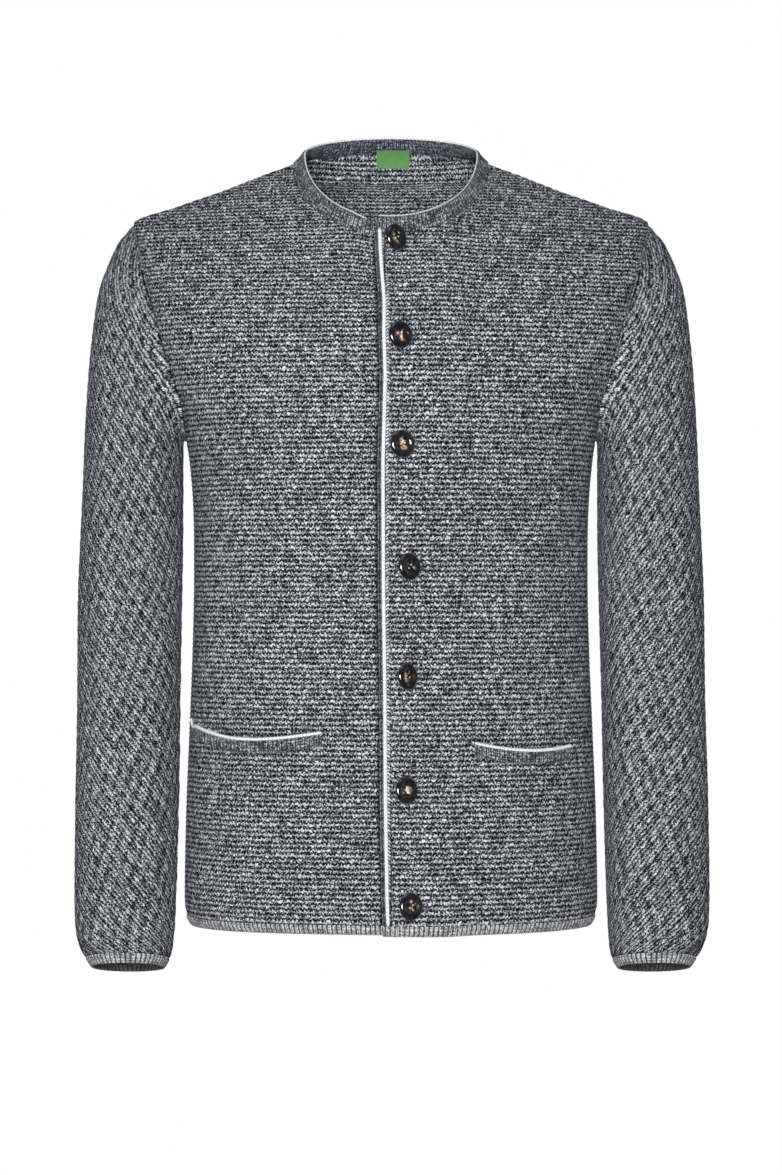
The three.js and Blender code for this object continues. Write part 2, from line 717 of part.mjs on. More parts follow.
// The small label that hangs from the neck seam, inside the back.
function labelBody() {
  const out = wall + liedOn;
  const rise = torsoPoint(Math.PI, neckSeam).z - torsoPoint(Math.PI, neckSeam - 1).z;
  const rows = steps(neckSeam - labelHeight / rise, neckSeam - 2 * seamStep, 2);
  const grid = rows.map((v) => {
    const start = Math.PI - turnAtX(labelHalfWidth + labelShift, v);
    const end = Math.PI + turnAtX(labelHalfWidth - labelShift, v);
    return steps(start, end, 4).map((turn) => {
      const { point, normal } = bodyPoint("back", turn, v);
      return {
        outer: point.clone().addScaledVector(normal, -out),
        inner: point.clone().addScaledVector(normal, -out - labelThickness),
      };
    });
  });
  return wallBody(grid);
}

const cardigan = new THREE.Group();
cardigan.add(meshOf("front_right", wallBody(panels.right), finish.bodyKnit));
cardigan.add(meshOf("front_left", wallBody(panels.left), finish.bodyKnit));
cardigan.add(meshOf("back", wallBody(panels.back), finish.bodyKnit));

for (const side of ["right", "left"]) {
  cardigan.add(meshOf(`sleeve_${side}`, sleeveBody(side), finish.sleeveKnit));
  cardigan.add(meshOf(`cuff_trim_${side}`, cuffBody(side), finish.lightTrim));
}
for (const part of ["right", "left", "back"]) {
  const trim = wallBody(bodyGrid(part, hemRows, trimProud));
  cardigan.add(meshOf(`hem_trim_${part}`, trim, finish.lightTrim));
}

const neckband = neckbandGrid();
cardigan.add(meshOf("neckband", wallBody(neckband), finish.bandKnit));
cardigan.add(meshOf("neck_tipping", neckTipping(neckband), finish.whiteCord));
cardigan.add(meshOf("neck_label", labelBody(), finish.greenLabel));

cardigan.add(meshOf("front_edging", edgeStrip(edging), finish.bandKnit));
cardigan.add(meshOf("front_piping", edgeStrip(piping), finish.whiteCord));

for (const row of pockets) {
  const pocket = named(pocketColumns, row);
  const welt = pocketBand(pocket, -weltHeight, -seamGap, weltThickness);
  const tipping = pocketBand(pocket, 0, tippingWidth, tippingHeight);
  cardigan.add(meshOf(`pocket_welt_${pocket.side}`, welt, finish.bandKnit));
  cardigan.add(meshOf(`pocket_tipping_${pocket.side}`, tipping, finish.whiteCord));
}
buttons.forEach((row, i) => cardigan.add(placedButton(row, i + 1)));

export default cardigan;
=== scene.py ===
import bpy
import numpy as np
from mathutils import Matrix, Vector


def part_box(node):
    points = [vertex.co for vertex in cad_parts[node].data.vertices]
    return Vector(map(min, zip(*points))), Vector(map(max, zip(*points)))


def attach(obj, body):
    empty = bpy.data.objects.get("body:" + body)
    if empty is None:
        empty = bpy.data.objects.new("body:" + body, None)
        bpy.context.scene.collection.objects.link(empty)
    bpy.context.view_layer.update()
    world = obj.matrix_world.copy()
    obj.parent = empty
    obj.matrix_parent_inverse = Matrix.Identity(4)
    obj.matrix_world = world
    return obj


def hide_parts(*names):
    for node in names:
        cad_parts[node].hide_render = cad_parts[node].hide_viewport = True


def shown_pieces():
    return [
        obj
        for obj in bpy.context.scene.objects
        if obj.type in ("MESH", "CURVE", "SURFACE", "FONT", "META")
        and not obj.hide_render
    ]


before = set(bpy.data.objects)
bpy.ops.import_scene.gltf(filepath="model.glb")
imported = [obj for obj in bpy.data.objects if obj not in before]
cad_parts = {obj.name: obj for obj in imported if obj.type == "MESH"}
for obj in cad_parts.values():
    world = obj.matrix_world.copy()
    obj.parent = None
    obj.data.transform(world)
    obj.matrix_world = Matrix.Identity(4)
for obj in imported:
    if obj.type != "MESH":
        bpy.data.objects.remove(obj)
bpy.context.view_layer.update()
scene = bpy.context.scene
print("frame loaded")

# All shapes are worked out in millimetres and made in metres. The front faces -Y, the wearer's left is +X.
metre = 0.001

# Camera: level, 3 m from the side seams, at the middle of the picture's height
view = {"distance": 3.0, "height": -0.375, "lens": 68.93, "mmPerPixel": 0.889, "middlePixel": (391.5, 587.0)}
cameraData = bpy.data.cameras.new("camera")
cameraData.sensor_fit = "VERTICAL"
cameraData.sensor_height = 24.0
cameraData.lens = view["lens"]
cameraData.clip_end = 30.0
camera = bpy.data.objects.new("camera", cameraData)
camera.location = (0.0, -view["distance"], view["height"])
camera.rotation_euler = (np.pi / 2, 0.0, 0.0)
scene.collection.objects.link(camera)
scene.camera = camera


# Shared shape functions

# Reads a table between its rows: a cubic through each column, whose slopes are limited so that it never
# overshoots.
def between(table, at):
    at = np.asarray(at, float)
    last = len(table) - 1
    low = np.clip(np.floor(at).astype(int), 0, last - 1)
    t = (at - low)[..., None]
    before, here, after, beyond = (table[np.clip(low + i, 0, last)] for i in (-1, 0, 1, 2))
    slopeIn = limitedSlope(before, here, after)
    slopeOut = limitedSlope(here, after, beyond)
    return ((2 * t**3 - 3 * t**2 + 1) * here + (t**3 - 2 * t**2 + t) * slopeIn
            + (3 * t**2 - 2 * t**3) * after + (t**3 - t**2) * slopeOut)


def limitedSlope(before, here, after):
    rise, following = here - before, after - here
    least = 3 * np.minimum(np.abs(rise), np.abs(following))
    slope = np.sign(following) * np.minimum(np.abs(rise + following) / 2, least)
    return np.where(rise * following <= 0, 0.0, slope)


def smoothstep(low, high, value):
    t = np.clip((value - low) / (high - low), 0.0, 1.0)
    return t * t * (3 - 2 * t)


def mix(a, b, t):
    return a + (b - a) * t


def unit(vectors):
    return vectors / np.maximum(np.linalg.norm(vectors, axis=-1, keepdims=True), 1e-9)


# Outward normals of a grid: the step along its rows crossed with the step up its columns.
def gridNormals(points, closed=False):
    if closed:
        along = np.roll(points, -1, axis=1) - np.roll(points, 1, axis=1)
    else:
        along = np.gradient(points, axis=1)
    return unit(np.cross(along, np.gradient(points, axis=0)))


# Running length along a line of points, 0 at its first one.
def runLength(points):
    return np.concatenate([[0], np.cumsum(np.linalg.norm(np.diff(points, axis=0), axis=1))])


# The same as a share, from 0 to 1.
def lengthShares(points):
    lengths = runLength(points)
    return lengths / lengths[-1]


# Running length along the rows of a grid, 0 at its first column.
def rowLengths(points):
    steps = np.linalg.norm(np.diff(points, axis=1), axis=2)
    return np.concatenate([np.zeros((len(points), 1)), np.cumsum(steps, axis=1)], axis=1)


# Seats a piece on the body and hides the solids that it stands for.
def finishPiece(piece, slot, *nodes):
    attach(piece, "root")
    if nodes:
        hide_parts(*nodes)
    return piece


# Area of a grid's quads, from their diagonals.
def gridArea(points, closed=False):
    if closed:
        points = np.concatenate([points, points[:, :1]], axis=1)
    rising, falling = points[1:, 1:] - points[:-1, :-1], points[1:, :-1] - points[:-1, 1:]
    return np.linalg.norm(np.cross(rising, falling), axis=-1).sum() / 2


# The torso's rings, from the hem up
# sideX, frontY, backY, sideZ, frontZ, backZ, roundness, roll
torsoRings = np.array([
    [176.5, 112.5, 103.0, -672.5, -672.5, -672.5, 2.5, 2.0],  # hem edge
    [181.0, 116.5, 107.0, -664.0, -664.0, -664.0, 2.5, 2.0],  # hem seam
    [182.8, 118.5, 109.0, -644.0, -644.0, -644.0, 2.5, 2.0],
    [181.4, 119.0, 108.5, -570.0, -570.0, -570.0, 2.5, 2.0],  # hip
    [178.6, 118.5, 105.0, -500.0, -500.0, -500.0, 2.5, 2.0],  # pockets
    [175.8, 118.0, 100.0, -430.0, -430.0, -430.0, 2.5, 2.0],
    [174.4, 119.5, 99.0, -360.0, -360.0, -360.0, 2.5, 2.0],  # waist
    [175.4, 122.5, 103.5, -300.0, -304.0, -304.0, 2.45, 2.0],
    [181.0, 125.5, 109.0, -246.0, -262.0, -261.0, 2.4, 2.0],  # underarm
    [189.0, 126.0, 111.5, -217.0, -245.0, -241.0, 2.36, 2.0],
    [217.5, 124.5, 112.5, -149.0, -209.0, -197.0, 2.28, 1.9],  # middle of the armhole
    [229.0, 121.0, 110.5, -81.0, -175.0, -150.0, 2.1, 1.6],
    [229.0, 116.0, 106.0, -52.7, -150.0, -117.0, 1.88, 1.4],  # shoulder point
    [190.0, 109.5, 99.5, -36.5, -127.0, -79.0, 1.86, 1.35],
    [150.0, 102.0, 90.5, -22.6, -106.0, -44.0, 1.9, 1.3],
    [115.0, 94.0, 79.5, -9.0, -87.0, -11.0, 1.95, 1.2],
    [87.0, 86.0, 68.5, 2.0, -69.5, 19.0, 2.0, 1.0],  # neck seam
    [78.0, 79.5, 62.5, 11.0, -55.5, 32.0, 2.0, 1.0],  # top of the neckband
])
ringRow = {"hemEdge": 0, "hemSeam": 1, "underarm": 8, "shoulder": 12, "neckSeam": 16, "bandTop": 17}
seamStep = 0.013  # half a seam's gap, in rows
armhole = {"front": 59.0, "back": 57.0, "gap": 0.55}  # half widths seen from the side, and the seam's gap


# A point of the torso: turn is 0 at the front's middle and a quarter turn at the wearer's left side.
# x and y lie on a superellipse, and z dips from the side point by a power of the cosine.
def torsoPoint(turn, v):
    turn, v = np.broadcast_arrays(np.asarray(turn, float), np.asarray(v, float))
    sideX, frontY, backY, sideZ, frontZ, backZ, roundness, roll = np.moveaxis(between(torsoRings, v), -1, 0)
    across, along = np.sin(turn), np.cos(turn)
    depth = np.abs(along) ** (2 / roundness)
    x = sideX * np.sign(across) * np.abs(across) ** (2 / roundness)
    y = np.where(along >= 0, -frontY, backY) * depth
    z = sideZ + (np.where(along >= 0, frontZ, backZ) - sideZ) * np.abs(along) ** roll
    return np.stack([x, y, z], axis=-1)


# The turn at which a panel ends at its side: side seam, armhole edge (an oval seen from the side) or
# shoulder seam.
def sideTurn(v, face):
    ring = between(torsoRings, v)
    low, high = torsoRings[ringRow["underarm"]][3], torsoRings[ringRow["shoulder"]][3]
    level = np.clip(2 * (ring[..., 3] - low) / (high - low) - 1, -1, 1)
    inside = (v > ringRow["underarm"]) & (v < ringRow["shoulder"])
    opening = np.where(inside, armhole[face] * np.sqrt(1 - level**2), 0.0)
    depth = np.maximum(opening, 0.15)
    reach = ring[..., 1] if face == "front" else ring[..., 2]
    return np.arccos((depth / reach) ** (ring[..., 6] / 2))


# The ring position of the point with a given x and height on the front or back, by halving.
def torsoRow(x, z, face):
    x, z = np.broadcast_arrays(np.abs(x), np.asarray(z, float))
    low = np.full(x.shape, 0.0)
    high = np.full(x.shape, float(ringRow["bandTop"]))
    for _ in range(26):
        middle = (low + high) / 2
        ring = between(torsoRings, middle)
        share = np.clip(x / ring[..., 0], 0, 1) ** (ring[..., 6] / 2)
        dip = np.sqrt(1 - share**2) ** ring[..., 7]
        height = ring[..., 3] + (ring[..., 4 if face == "front" else 5] - ring[..., 3]) * dip
        low = np.where(height < z, middle, low)
        high = np.where(height < z, high, middle)
    return (low + high) / 2


# The smooth point of the front or back at a given x and height.
def bodyAt(x, z, face):
    v = torsoRow(x, z, face)
    ring = between(torsoRings, v)
    share = np.clip(np.abs(x) / ring[..., 0], 0, 1) ** (ring[..., 6] / 2)
    turn = np.sign(x) * np.arcsin(share)
    return torsoPoint(turn if face == "front" else np.pi - turn, v)


# The closing: the left front laps over the right one
lap = {
    "lift": 3.7, "fullX": 42.0, "endX": 80.0,  # the left front is raised by this much up to fullX
    "freeEdgeX": -10.0, "underEdgeX": 28.0,
    "drop": 4.5, "dropWidth": 40.0,  # how far the right front's neck corner sinks
}
# The free edge isn't quite straight: height, shift to the side
edgeWander = np.array([
    [-672, 3.2], [-640, 2.0], [-556, 0.6], [-470, 0.2], [-377, -1.0], [-300, -1.3], [-268, -1.4],
    [-225, -0.3], [-195, 0.5], [-160, -0.6], [-130, -0.3], [-105, -2.4], [-85, -3.6], [-70, -4.1],
    [-50, -4.1],
])


def edgeX(z):
    return lap["freeEdgeX"] + np.interp(z, edgeWander[:, 0], edgeWander[:, 1])


def lapLift(x):
    return lap["lift"] * (1 - smoothstep(lap["fullX"], lap["endX"], x))


def underDrop(x, z):
    return lap["drop"] * smoothstep(-lap["dropWidth"], -5, x) * smoothstep(-150, -70, z)


# Creases and soft unevenness
# Each is a trough (minus) or ridge (plus) along a line from one point to another, seen from the front:
# x and z of both ends, height, half width. Values are worked out from what tugs there.
def creases(table, a, b):
    total = np.zeros(np.broadcast(a, b).shape)
    for a0, b0, a1, b1, height, width in table:
        lengthA, lengthB = a1 - a0, b1 - b0
        squared = lengthA**2 + lengthB**2
        t = ((a - a0) * lengthA + (b - b0) * lengthB) / squared
        off = ((a - a0) * lengthB - (b - b0) * lengthA) / np.sqrt(squared)
        end = smoothstep(-0.15, 0.25, t) * (1 - smoothstep(0.7, 1.15, t))
        total += height * end * np.exp(-(off / width) ** 2)
    return total


# Slow waves of three directions, the same every time, for cloth that hangs a little unevenly.
def waves(a, b, phase):
    return (0.9 * np.sin(a / 41.0 + 0.35 * np.sin(b / 90.0 + phase) + phase)
            + 0.6 * np.sin((a + 0.6 * b) / 63.0 + 2.1 * phase)
            + 0.4 * np.sin(b / 57.0 - a / 95.0 + 3.0 * phase))


frontCreases = [
    [168, -262, 96, -338, -2.6, 9], [160, -285, 102, -372, 1.8, 10],  # pulls from the left armpit
    [174, -232, 118, -262, -1.8, 8], [150, -330, 118, -430, -1.6, 12],
    [160, -560, 132, -420, -1.2, 14], [70, -560, 60, -655, -1.6, 11], [112, -575, 118, -655, 1.4, 12],
    [-168, -262, -92, -352, -2.6, 9], [-158, -290, -100, -392, 1.6, 10],  # and from the right one
    [-176, -230, -120, -268, -1.8, 8], [-150, -350, -122, -470, -1.4, 12],
    [-160, -545, -140, -420, -1.2, 13], [-66, -570, -58, -655, -1.5, 11], [-120, -560, -112, -655, 1.3, 12],
    [18, -160, 66, -196, -1.0, 9], [20, -255, 78, -290, -1.0, 10], [26, -450, 74, -470, -0.9, 10],
    [-30, -205, -80, -240, -0.9, 10], [-28, -400, -84, -425, -0.9, 11],
]
backCreases = [
    [166, -262, 84, -330, -2.8, 10], [158, -292, 92, -372, 1.8, 10], [170, -232, 116, -252, -1.8, 9],
    [-166, -262, -88, -336, -2.8, 10], [-158, -296, -96, -380, 1.7, 10], [-172, -230, -118, -256, -1.7, 9],
    [40, -560, 26, -655, -1.6, 13], [-52, -550, -60, -655, -1.5, 12], [110, -540, 118, -655, 1.5, 14],
    [-112, -545, -120, -655, 1.4, 14], [-70, -395, 62, -408, -1.7, 13], [-58, -436, 70, -428, 1.3, 14],
]


def bodyFolds(x, z, face):
    table = frontCreases if face == "front" else backCreases
    calm = smoothstep(-30, -120, z) * smoothstep(0, 26, 182 - np.abs(x) + 40 * smoothstep(-270, -200, z))
    return calm * (creases(table, x, z) + 0.8 * waves(x, z, 0.4 if face == "front" else 1.7))


# Mesh making
# Quads of a grid of point numbers, facing out where columns go round anticlockwise and rows go up.
def gridQuads(numbers, closed=False, inward=False):
    if closed:
        numbers = np.concatenate([numbers, numbers[:, :1]], axis=1)
    a, b, c, d = numbers[:-1, :-1], numbers[:-1, 1:], numbers[1:, 1:], numbers[1:, :-1]
    quads = np.stack([a, b, c, d] if not inward else [a, d, c, b], axis=-1)
    return quads.reshape(-1, 4)


# Triangles between a fine outer edge and a coarse inner one, where each coarse step spans several fine ones.
def rimTriangles(innerEdge, outerEdge, flip=False):
    ratio = (len(outerEdge) - 1) // (len(innerEdge) - 1)
    start, end = innerEdge[:-1], innerEdge[1:]
    fans = [np.stack([start, end, outerEdge[ratio // 2:-1:ratio]], axis=1)]
    for j in range(ratio):
        near = start if j < ratio // 2 else end
        fans.append(np.stack([near, outerEdge[j + 1::ratio], outerEdge[j:-1:ratio]], axis=1))
    triangles = np.concatenate(fans)
    return triangles[:, ::-1] if flip else triangles


# Puts points in millimetres, quads and triangles into a mesh object with a UV map in metres and smooth faces.
def makePiece(name, points, quads, triangles=None, uv=None, masks=None, material=None):
    points = np.asarray(points, float).reshape(-1, 3) * metre
    triangles = np.zeros((0, 3), int) if triangles is None else triangles
    mesh = bpy.data.meshes.new(name)
    mesh.vertices.add(len(points))
    mesh.vertices.foreach_set("co", points.astype(np.float32).ravel())
    corners = np.concatenate([quads.ravel(), triangles.ravel()]).astype(np.int32)
    sizes = np.concatenate([np.full(len(quads), 4), np.full(len(triangles), 3)])
    starts = np.concatenate([[0], np.cumsum(sizes)[:-1]]).astype(np.int32)
    mesh.loops.add(len(corners))
    mesh.loops.foreach_set("vertex_index", corners)
    mesh.polygons.add(len(sizes))
    mesh.polygons.foreach_set("loop_start", starts)
    mesh.polygons.foreach_set("use_smooth", np.ones(len(sizes), bool))
    if uv is not None:
        layer = mesh.uv_layers.new(name="UVMap")
        flat = np.asarray(uv, float).reshape(-1, 2)[corners] * metre
        layer.data.foreach_set("uv", flat.astype(np.float32).ravel())
    for maskName, values in (masks or {}).items():
        layer = mesh.attributes.new(maskName, "FLOAT", "POINT")
        layer.data.foreach_set("value", np.asarray(values, np.float32).ravel())
    mesh.update(calc_edges=True)
    mesh.validate()
    piece = bpy.data.objects.new(name, mesh)
    scene.collection.objects.link(piece)
    if material:
        mesh.materials.append(material)
    return piece


# A wall of cloth: a fine outer grid, a coarse inner grid and closed rims between them.
def clothWall(name, outer, inner, uv, uvInner, closed=False, masks=None, material=None):
    outerNumbers = np.arange(outer.shape[0] * outer.shape[1]).reshape(outer.shape[:2])
    innerNumbers = outerNumbers.size + np.arange(inner.shape[0] * inner.shape[1]).reshape(inner.shape[:2])
    quads = np.concatenate([gridQuads(outerNumbers, closed), gridQuads(innerNumbers, closed, inward=True)])

    def ring(edge):
        return np.concatenate([edge, edge[:1]]) if closed else edge
    rims = [rimTriangles(ring(innerNumbers[0]), ring(outerNumbers[0])),
            rimTriangles(ring(innerNumbers[-1]), ring(outerNumbers[-1]), flip=True)]
    if not closed:
        rims += [rimTriangles(innerNumbers[:, 0], outerNumbers[:, 0], flip=True),
                 rimTriangles(innerNumbers[:, -1], outerNumbers[:, -1])]
    points = np.concatenate([outer.reshape(-1, 3), inner.reshape(-1, 3)])
    allUv = np.concatenate([uv.reshape(-1, 2), uvInner.reshape(-1, 2)])
    extra = {}
    for maskName, (outerValues, innerValue) in (masks or {}).items():
        innerValues = np.full(inner.shape[0] * inner.shape[1], innerValue)
        extra[maskName] = np.concatenate([outerValues.ravel(), innerValues])
    return makePiece(name, points, quads, np.concatenate(rims), allUv, extra, material)


# A closed section carried along a path: sections is stations x places round x 3, with the places
# anticlockwise from ahead.
def cordPiece(name, sections, uv, material=None):
    stations, around = sections.shape[:2]
    numbers = np.arange(stations * around).reshape(stations, around)
    quads = gridQuads(numbers, closed=True)
    ends = [sections[0].mean(0), sections[-1].mean(0)]
    points = np.concatenate([sections.reshape(-1, 3), np.array(ends)])
    first, last = len(points) - 2, len(points) - 1
    following = np.roll(numbers, -1, axis=1)
    caps = np.concatenate([
        np.stack([np.full(around, first), following[0], numbers[0]], axis=1),
        np.stack([np.full(around, last), numbers[-1], following[-1]], axis=1)])
    allUv = np.concatenate([uv.reshape(-1, 2), uv[0].mean(0)[None], uv[-1].mean(0)[None]])
    return makePiece(name, points, quads, caps, allUv, material=material)


# Node helpers
# Adds a node; inputs are given by name or number, as a value or as another node's output.
def addNode(tree, kind, inputs=None, **settings):
    made = tree.nodes.new(kind)
    for name, value in settings.items():
        setattr(made, name, value)
    for name, value in (inputs or {}).items():
        value = getattr(value, "socket", value)
        if isinstance(value, bpy.types.NodeSocket):
            tree.links.new(value, made.inputs[name])
        else:
            made.inputs[name].default_value = value
    return made


# A shader value that takes signs of arithmetic: each sign adds one Math node.
class Value:
    def __init__(self, tree, socket):
        self.tree = tree
        self.socket = socket

    def math(self, operation, *others, first=None):
        values = (self, *others) if first is None else (first, self)
        made = addNode(self.tree, "ShaderNodeMath", dict(enumerate(values)), operation=operation)
        return Value(self.tree, made.outputs[0])

    def __add__(self, other):
        return self.math("ADD", other)

    def __sub__(self, other):
        return self.math("SUBTRACT", other)

    def __mul__(self, other):
        return self.math("MULTIPLY", other)

    def __truediv__(self, other):
        return self.math("DIVIDE", other)

    def __pow__(self, power):
        return self.math("POWER", power)

    # The size of a sine whose half wave is one unit long: a ridge from 0 to 1 and back
    def ridge(self):
        return (self * 3.14159).math("SINE").math("ABSOLUTE")

    # Goes from to's first value at low to its second one at high, and stays there beyond them.
    def spread(self, low, high, to=(0.0, 1.0)):
        ends = {"Value": self, "From Min": low, "From Max": high, "To Min": to[0], "To Max": to[1]}
        return Value(self.tree, addNode(self.tree, "ShaderNodeMapRange", ends, clamp=True).outputs["Result"])


def readMask(tree, name):
    return Value(tree, addNode(tree, "ShaderNodeAttribute", attribute_name=name).outputs["Fac"])


def readUv(tree):
    return addNode(tree, "ShaderNodeUVMap", uv_map="UVMap").outputs[0]


# The parts of a vector or colour
def splitUp(tree, kind, value):
    return [Value(tree, part) for part in addNode(tree, "ShaderNodeSeparate" + kind, {0: value}).outputs]


def noise(tree, scale, detail, **inputs):
    return addNode(tree, "ShaderNodeTexNoise", {"Scale": scale, "Detail": detail, **inputs}).outputs


# One random value for each whole cell of two coordinates
def randomCell(tree, first, second):
    whole = {0: first.math("FLOOR"), 1: second.math("FLOOR")}
    cell = addNode(tree, "ShaderNodeCombineXYZ", whole).outputs[0]
    made = addNode(tree, "ShaderNodeTexWhiteNoise", {"Vector": cell}, noise_dimensions="2D").outputs[0]
    return Value(tree, made)


def blendColour(tree, share, first, second, kind="MIX"):
    inputs = {0: share, 6: first, 7: second}
    return addNode(tree, "ShaderNodeMix", inputs, data_type="RGBA", blend_type=kind).outputs[2]


def mixValue(tree, share, first, second):
    return Value(tree, addNode(tree, "ShaderNodeMix", {0: share, 2: first, 3: second}).outputs[0])


# A node group with its inputs as values, and a function that links what it puts out.
def startGroup(name, ins, outs):
    group = bpy.data.node_groups.new(name, "ShaderNodeTree")
    for label, kind, value in ins:
        socket = group.interface.new_socket(label, in_out="INPUT", socket_type="NodeSocket" + kind)
        if value is not None:
            socket.default_value = value
    for label, kind in outs:
        group.interface.new_socket(label, in_out="OUTPUT", socket_type="NodeSocket" + kind)
    start = group.nodes.new("NodeGroupInput")
    given = {socket.name: Value(group, socket) for socket in start.outputs if socket.name}
    end = group.nodes.new("NodeGroupOutput")

    def putOut(**values):
        for label, value in values.items():
            group.links.new(getattr(value, "socket", value), end.inputs[label])
    return group, given, putOut


def useGroup(tree, group, inputs):
    made = addNode(tree, "ShaderNodeGroup", inputs, node_tree=group)
    return {socket.name: Value(tree, socket) for socket in made.outputs}


# sRGB values of 0 to 255, as a colour that the shaders use
def colour(red, green, blue):
    def linear(value):
        value = value / 255
        return value / 12.92 if value <= 0.04045 else ((value + 0.055) / 1.055) ** 2.4
    return (linear(red), linear(green), linear(blue), 1.0)


# Melange yarn: dark, grey and light fibres spun together, so every stitch is speckled
def makeMelange():
    group, given, putOut = startGroup("melangeYarn", [
        ("Place", "Vector", None), ("Grain", "Float", 1.0), ("Dark", "Color", colour(27, 29, 37)),
        ("Middle", "Color", colour(124, 130, 140)), ("Light", "Color", colour(242, 246, 254)),
        ("Contrast", "Float", 1.0), ("Tone", "Float", 0.0)], [("Color", "Color"), ("Fibre", "Float")])
    scale = given["Grain"].math("DIVIDE", first=560.0)
    fine = Value(group, noise(group, scale, 2.0, Vector=given["Place"], Roughness=0.7)["Fac"])
    slow = Value(group, noise(group, 70.0, 3.0, Vector=given["Place"], Roughness=0.6)["Fac"])
    speckled = (fine - 0.5) * (given["Contrast"] * 3.4) + (slow - 0.5) * 0.3 + 0.5
    value = speckled + given["Tone"]
    lower = blendColour(group, value.spread(0.0, 0.5), given["Dark"], given["Middle"])
    shaded = blendColour(group, value.spread(0.5, 1.0), lower, given["Light"])
    putOut(Color=shaded, Fibre=speckled)
    return group


# Purl side of plain knitting: rows of short wavy bumps
# A row's middle line waves up and down once per stitch. Height is a round ridge along it, lower on the
# steep parts between crest and trough. Gap marks the space between two rows, which the materials darken as
# painted shade. Shade is random for each half stitch. Uneven says how far the stitches stray from their
# places.
def makePurl():
    group, given, putOut = startGroup("purlRows", [
        ("UV", "Vector", None), ("Stitch", "Float", 0.0038), ("Row", "Float", 0.0044),
        ("Uneven", "Float", 0.35)], [("Height", "Float"), ("Gap", "Float"), ("Shade", "Float")])
    along, across, _ = splitUp(group, "XYZ", given["UV"])
    uneven = noise(group, 260.0, 1.0, Vector=given["UV"])["Color"]
    strayAlong, strayAcross, _ = splitUp(group, "Color", uneven)
    u = along / given["Stitch"] + (strayAlong - 0.5) * (given["Uneven"] * 3.0)
    w = across / given["Row"] + (strayAcross - 0.5) * (given["Uneven"] * 0.6)
    wave = (u * 6.28319).math("SINE")
    line = wave * 0.19 + w
    ridge = line.ridge()
    level = wave * wave
    between = level.spread(0.0, 0.4, (0.36, 0.0))
    putOut(Height=ridge ** 0.9 * (level * 0.38 + 0.62),
           Gap=ridge.spread(0.25, 0.86, (1.0, 0.0)).math("MAXIMUM", between),
           Shade=randomCell(group, u * 2.0, line))
    return group


# Fine slanted stitches: thin plaits that lean one way, with a narrow gap between them
def makeSlant():
    group, given, putOut = startGroup("slantedStitches", [
        ("UV", "Vector", None), ("Along", "Float", 0.003), ("Across", "Float", 0.003),
        ("Lean", "Float", 0.6)], [("Height", "Float"), ("Gap", "Float"), ("Shade", "Float")])
    across, along, _ = splitUp(group, "XYZ", given["UV"])
    u = across / given["Across"]
    folded = (u.math("FRACT") - 0.5).math("ABSOLUTE") * given["Lean"]
    line = along / given["Along"] + folded
    ridge, valley = line.ridge(), u.ridge()
    putOut(Height=ridge ** 0.7 * valley ** 0.5,
           Gap=ridge.math("MINIMUM", valley).spread(0.0, 0.4, (1.0, 0.0)),
           Shade=randomCell(group, u, line))
    return group


melange, purl, slanted = makeMelange(), makePurl(), makeSlant()
# Near-black painted shade: laid into the gaps between stitches and rows, the furrows between ribs and the
# cloth's painted shadows
paintedShadeColour = colour(13, 14, 18)


# Starts a material with a Principled shader, whose constant values are set straight on its sockets.
def startMaterial(name, roughness=0.95, specular=0.25, sheen=0.0):
    material = bpy.data.materials.new(name)
    material.use_nodes = True
    tree = material.node_tree
    shader = tree.nodes["Principled BSDF"]
    shader.inputs["Roughness"].default_value = roughness
    shader.inputs["Specular IOR Level"].default_value = specular
    shader.inputs["Sheen Weight"].default_value = sheen
    return material, tree, shader


def link(tree, value, shader, name):
    tree.links.new(getattr(value, "socket", value), shader.inputs[name])


def addBump(tree, shader, height, distance):
    bump = addNode(tree, "ShaderNodeBump", {"Height": height, "Distance": distance, "Strength": 1.0})
    link(tree, bump.outputs[0], shader, "Normal")


# How much a stitch is lighter or darker than the yarn: its own random tone, and painted light and shade from
# its height that make its top lighter than its sides.
def stitchTone(shade, height, shadeAmount, heightShadeAmount):
    return (shade - 0.5) * shadeAmount + (height - 0.6) * heightShadeAmount


# Body knit: purl rows inside and out, and slanted fine stitches on the strip by the front's edge, with
# painted shade in the stitches' gaps. The mask named shadow paints shadow beside the lapping edge, at the
# armpits and at the pockets.
def makeBodyKnit():
    look = {"stitch": 0.0035, "row": panelPitch * metre, "uneven": 0.78, "gapDepth": 0.92, "bump": 0.002,
            "shade": 0.6, "height": 1.0, "shadow": 0.85}
    material, tree, shader = startMaterial("melange_body_knit", roughness=1.0, specular=0.08)
    uv = readUv(tree)
    band, inside, shadow = (readMask(tree, name) for name in ("band", "inside", "shadow"))
    rows = useGroup(tree, purl, {"UV": uv, "Stitch": look["stitch"], "Row": look["row"],
                                 "Uneven": look["uneven"]})
    fine = useGroup(tree, slanted, {"UV": uv, "Along": 0.003, "Across": 0.0052, "Lean": 1.3})
    height, gap, shade = (mixValue(tree, band, rows[key], fine[key]) for key in ("Height", "Gap", "Shade"))
    tone = stitchTone(shade, height, look["shade"], look["height"]) + inside * 0.04
    yarn = useGroup(tree, melange, {"Place": uv, "Grain": 0.8, "Tone": tone, "Contrast": 0.85})
    lit = blendColour(tree, gap * look["gapDepth"], yarn["Color"], paintedShadeColour)
    link(tree, blendColour(tree, shadow * look["shadow"], lit, paintedShadeColour), shader, "Base Color")
    addBump(tree, shader, height + yarn["Fibre"] * 0.4, look["bump"])
    return material


trimLook = {"rib": 4.1, "ribHeight": 0.5, "proud": 0.4, "roll": 1.3, "rollWidth": 2.4, "wall": 3.0}  # in mm
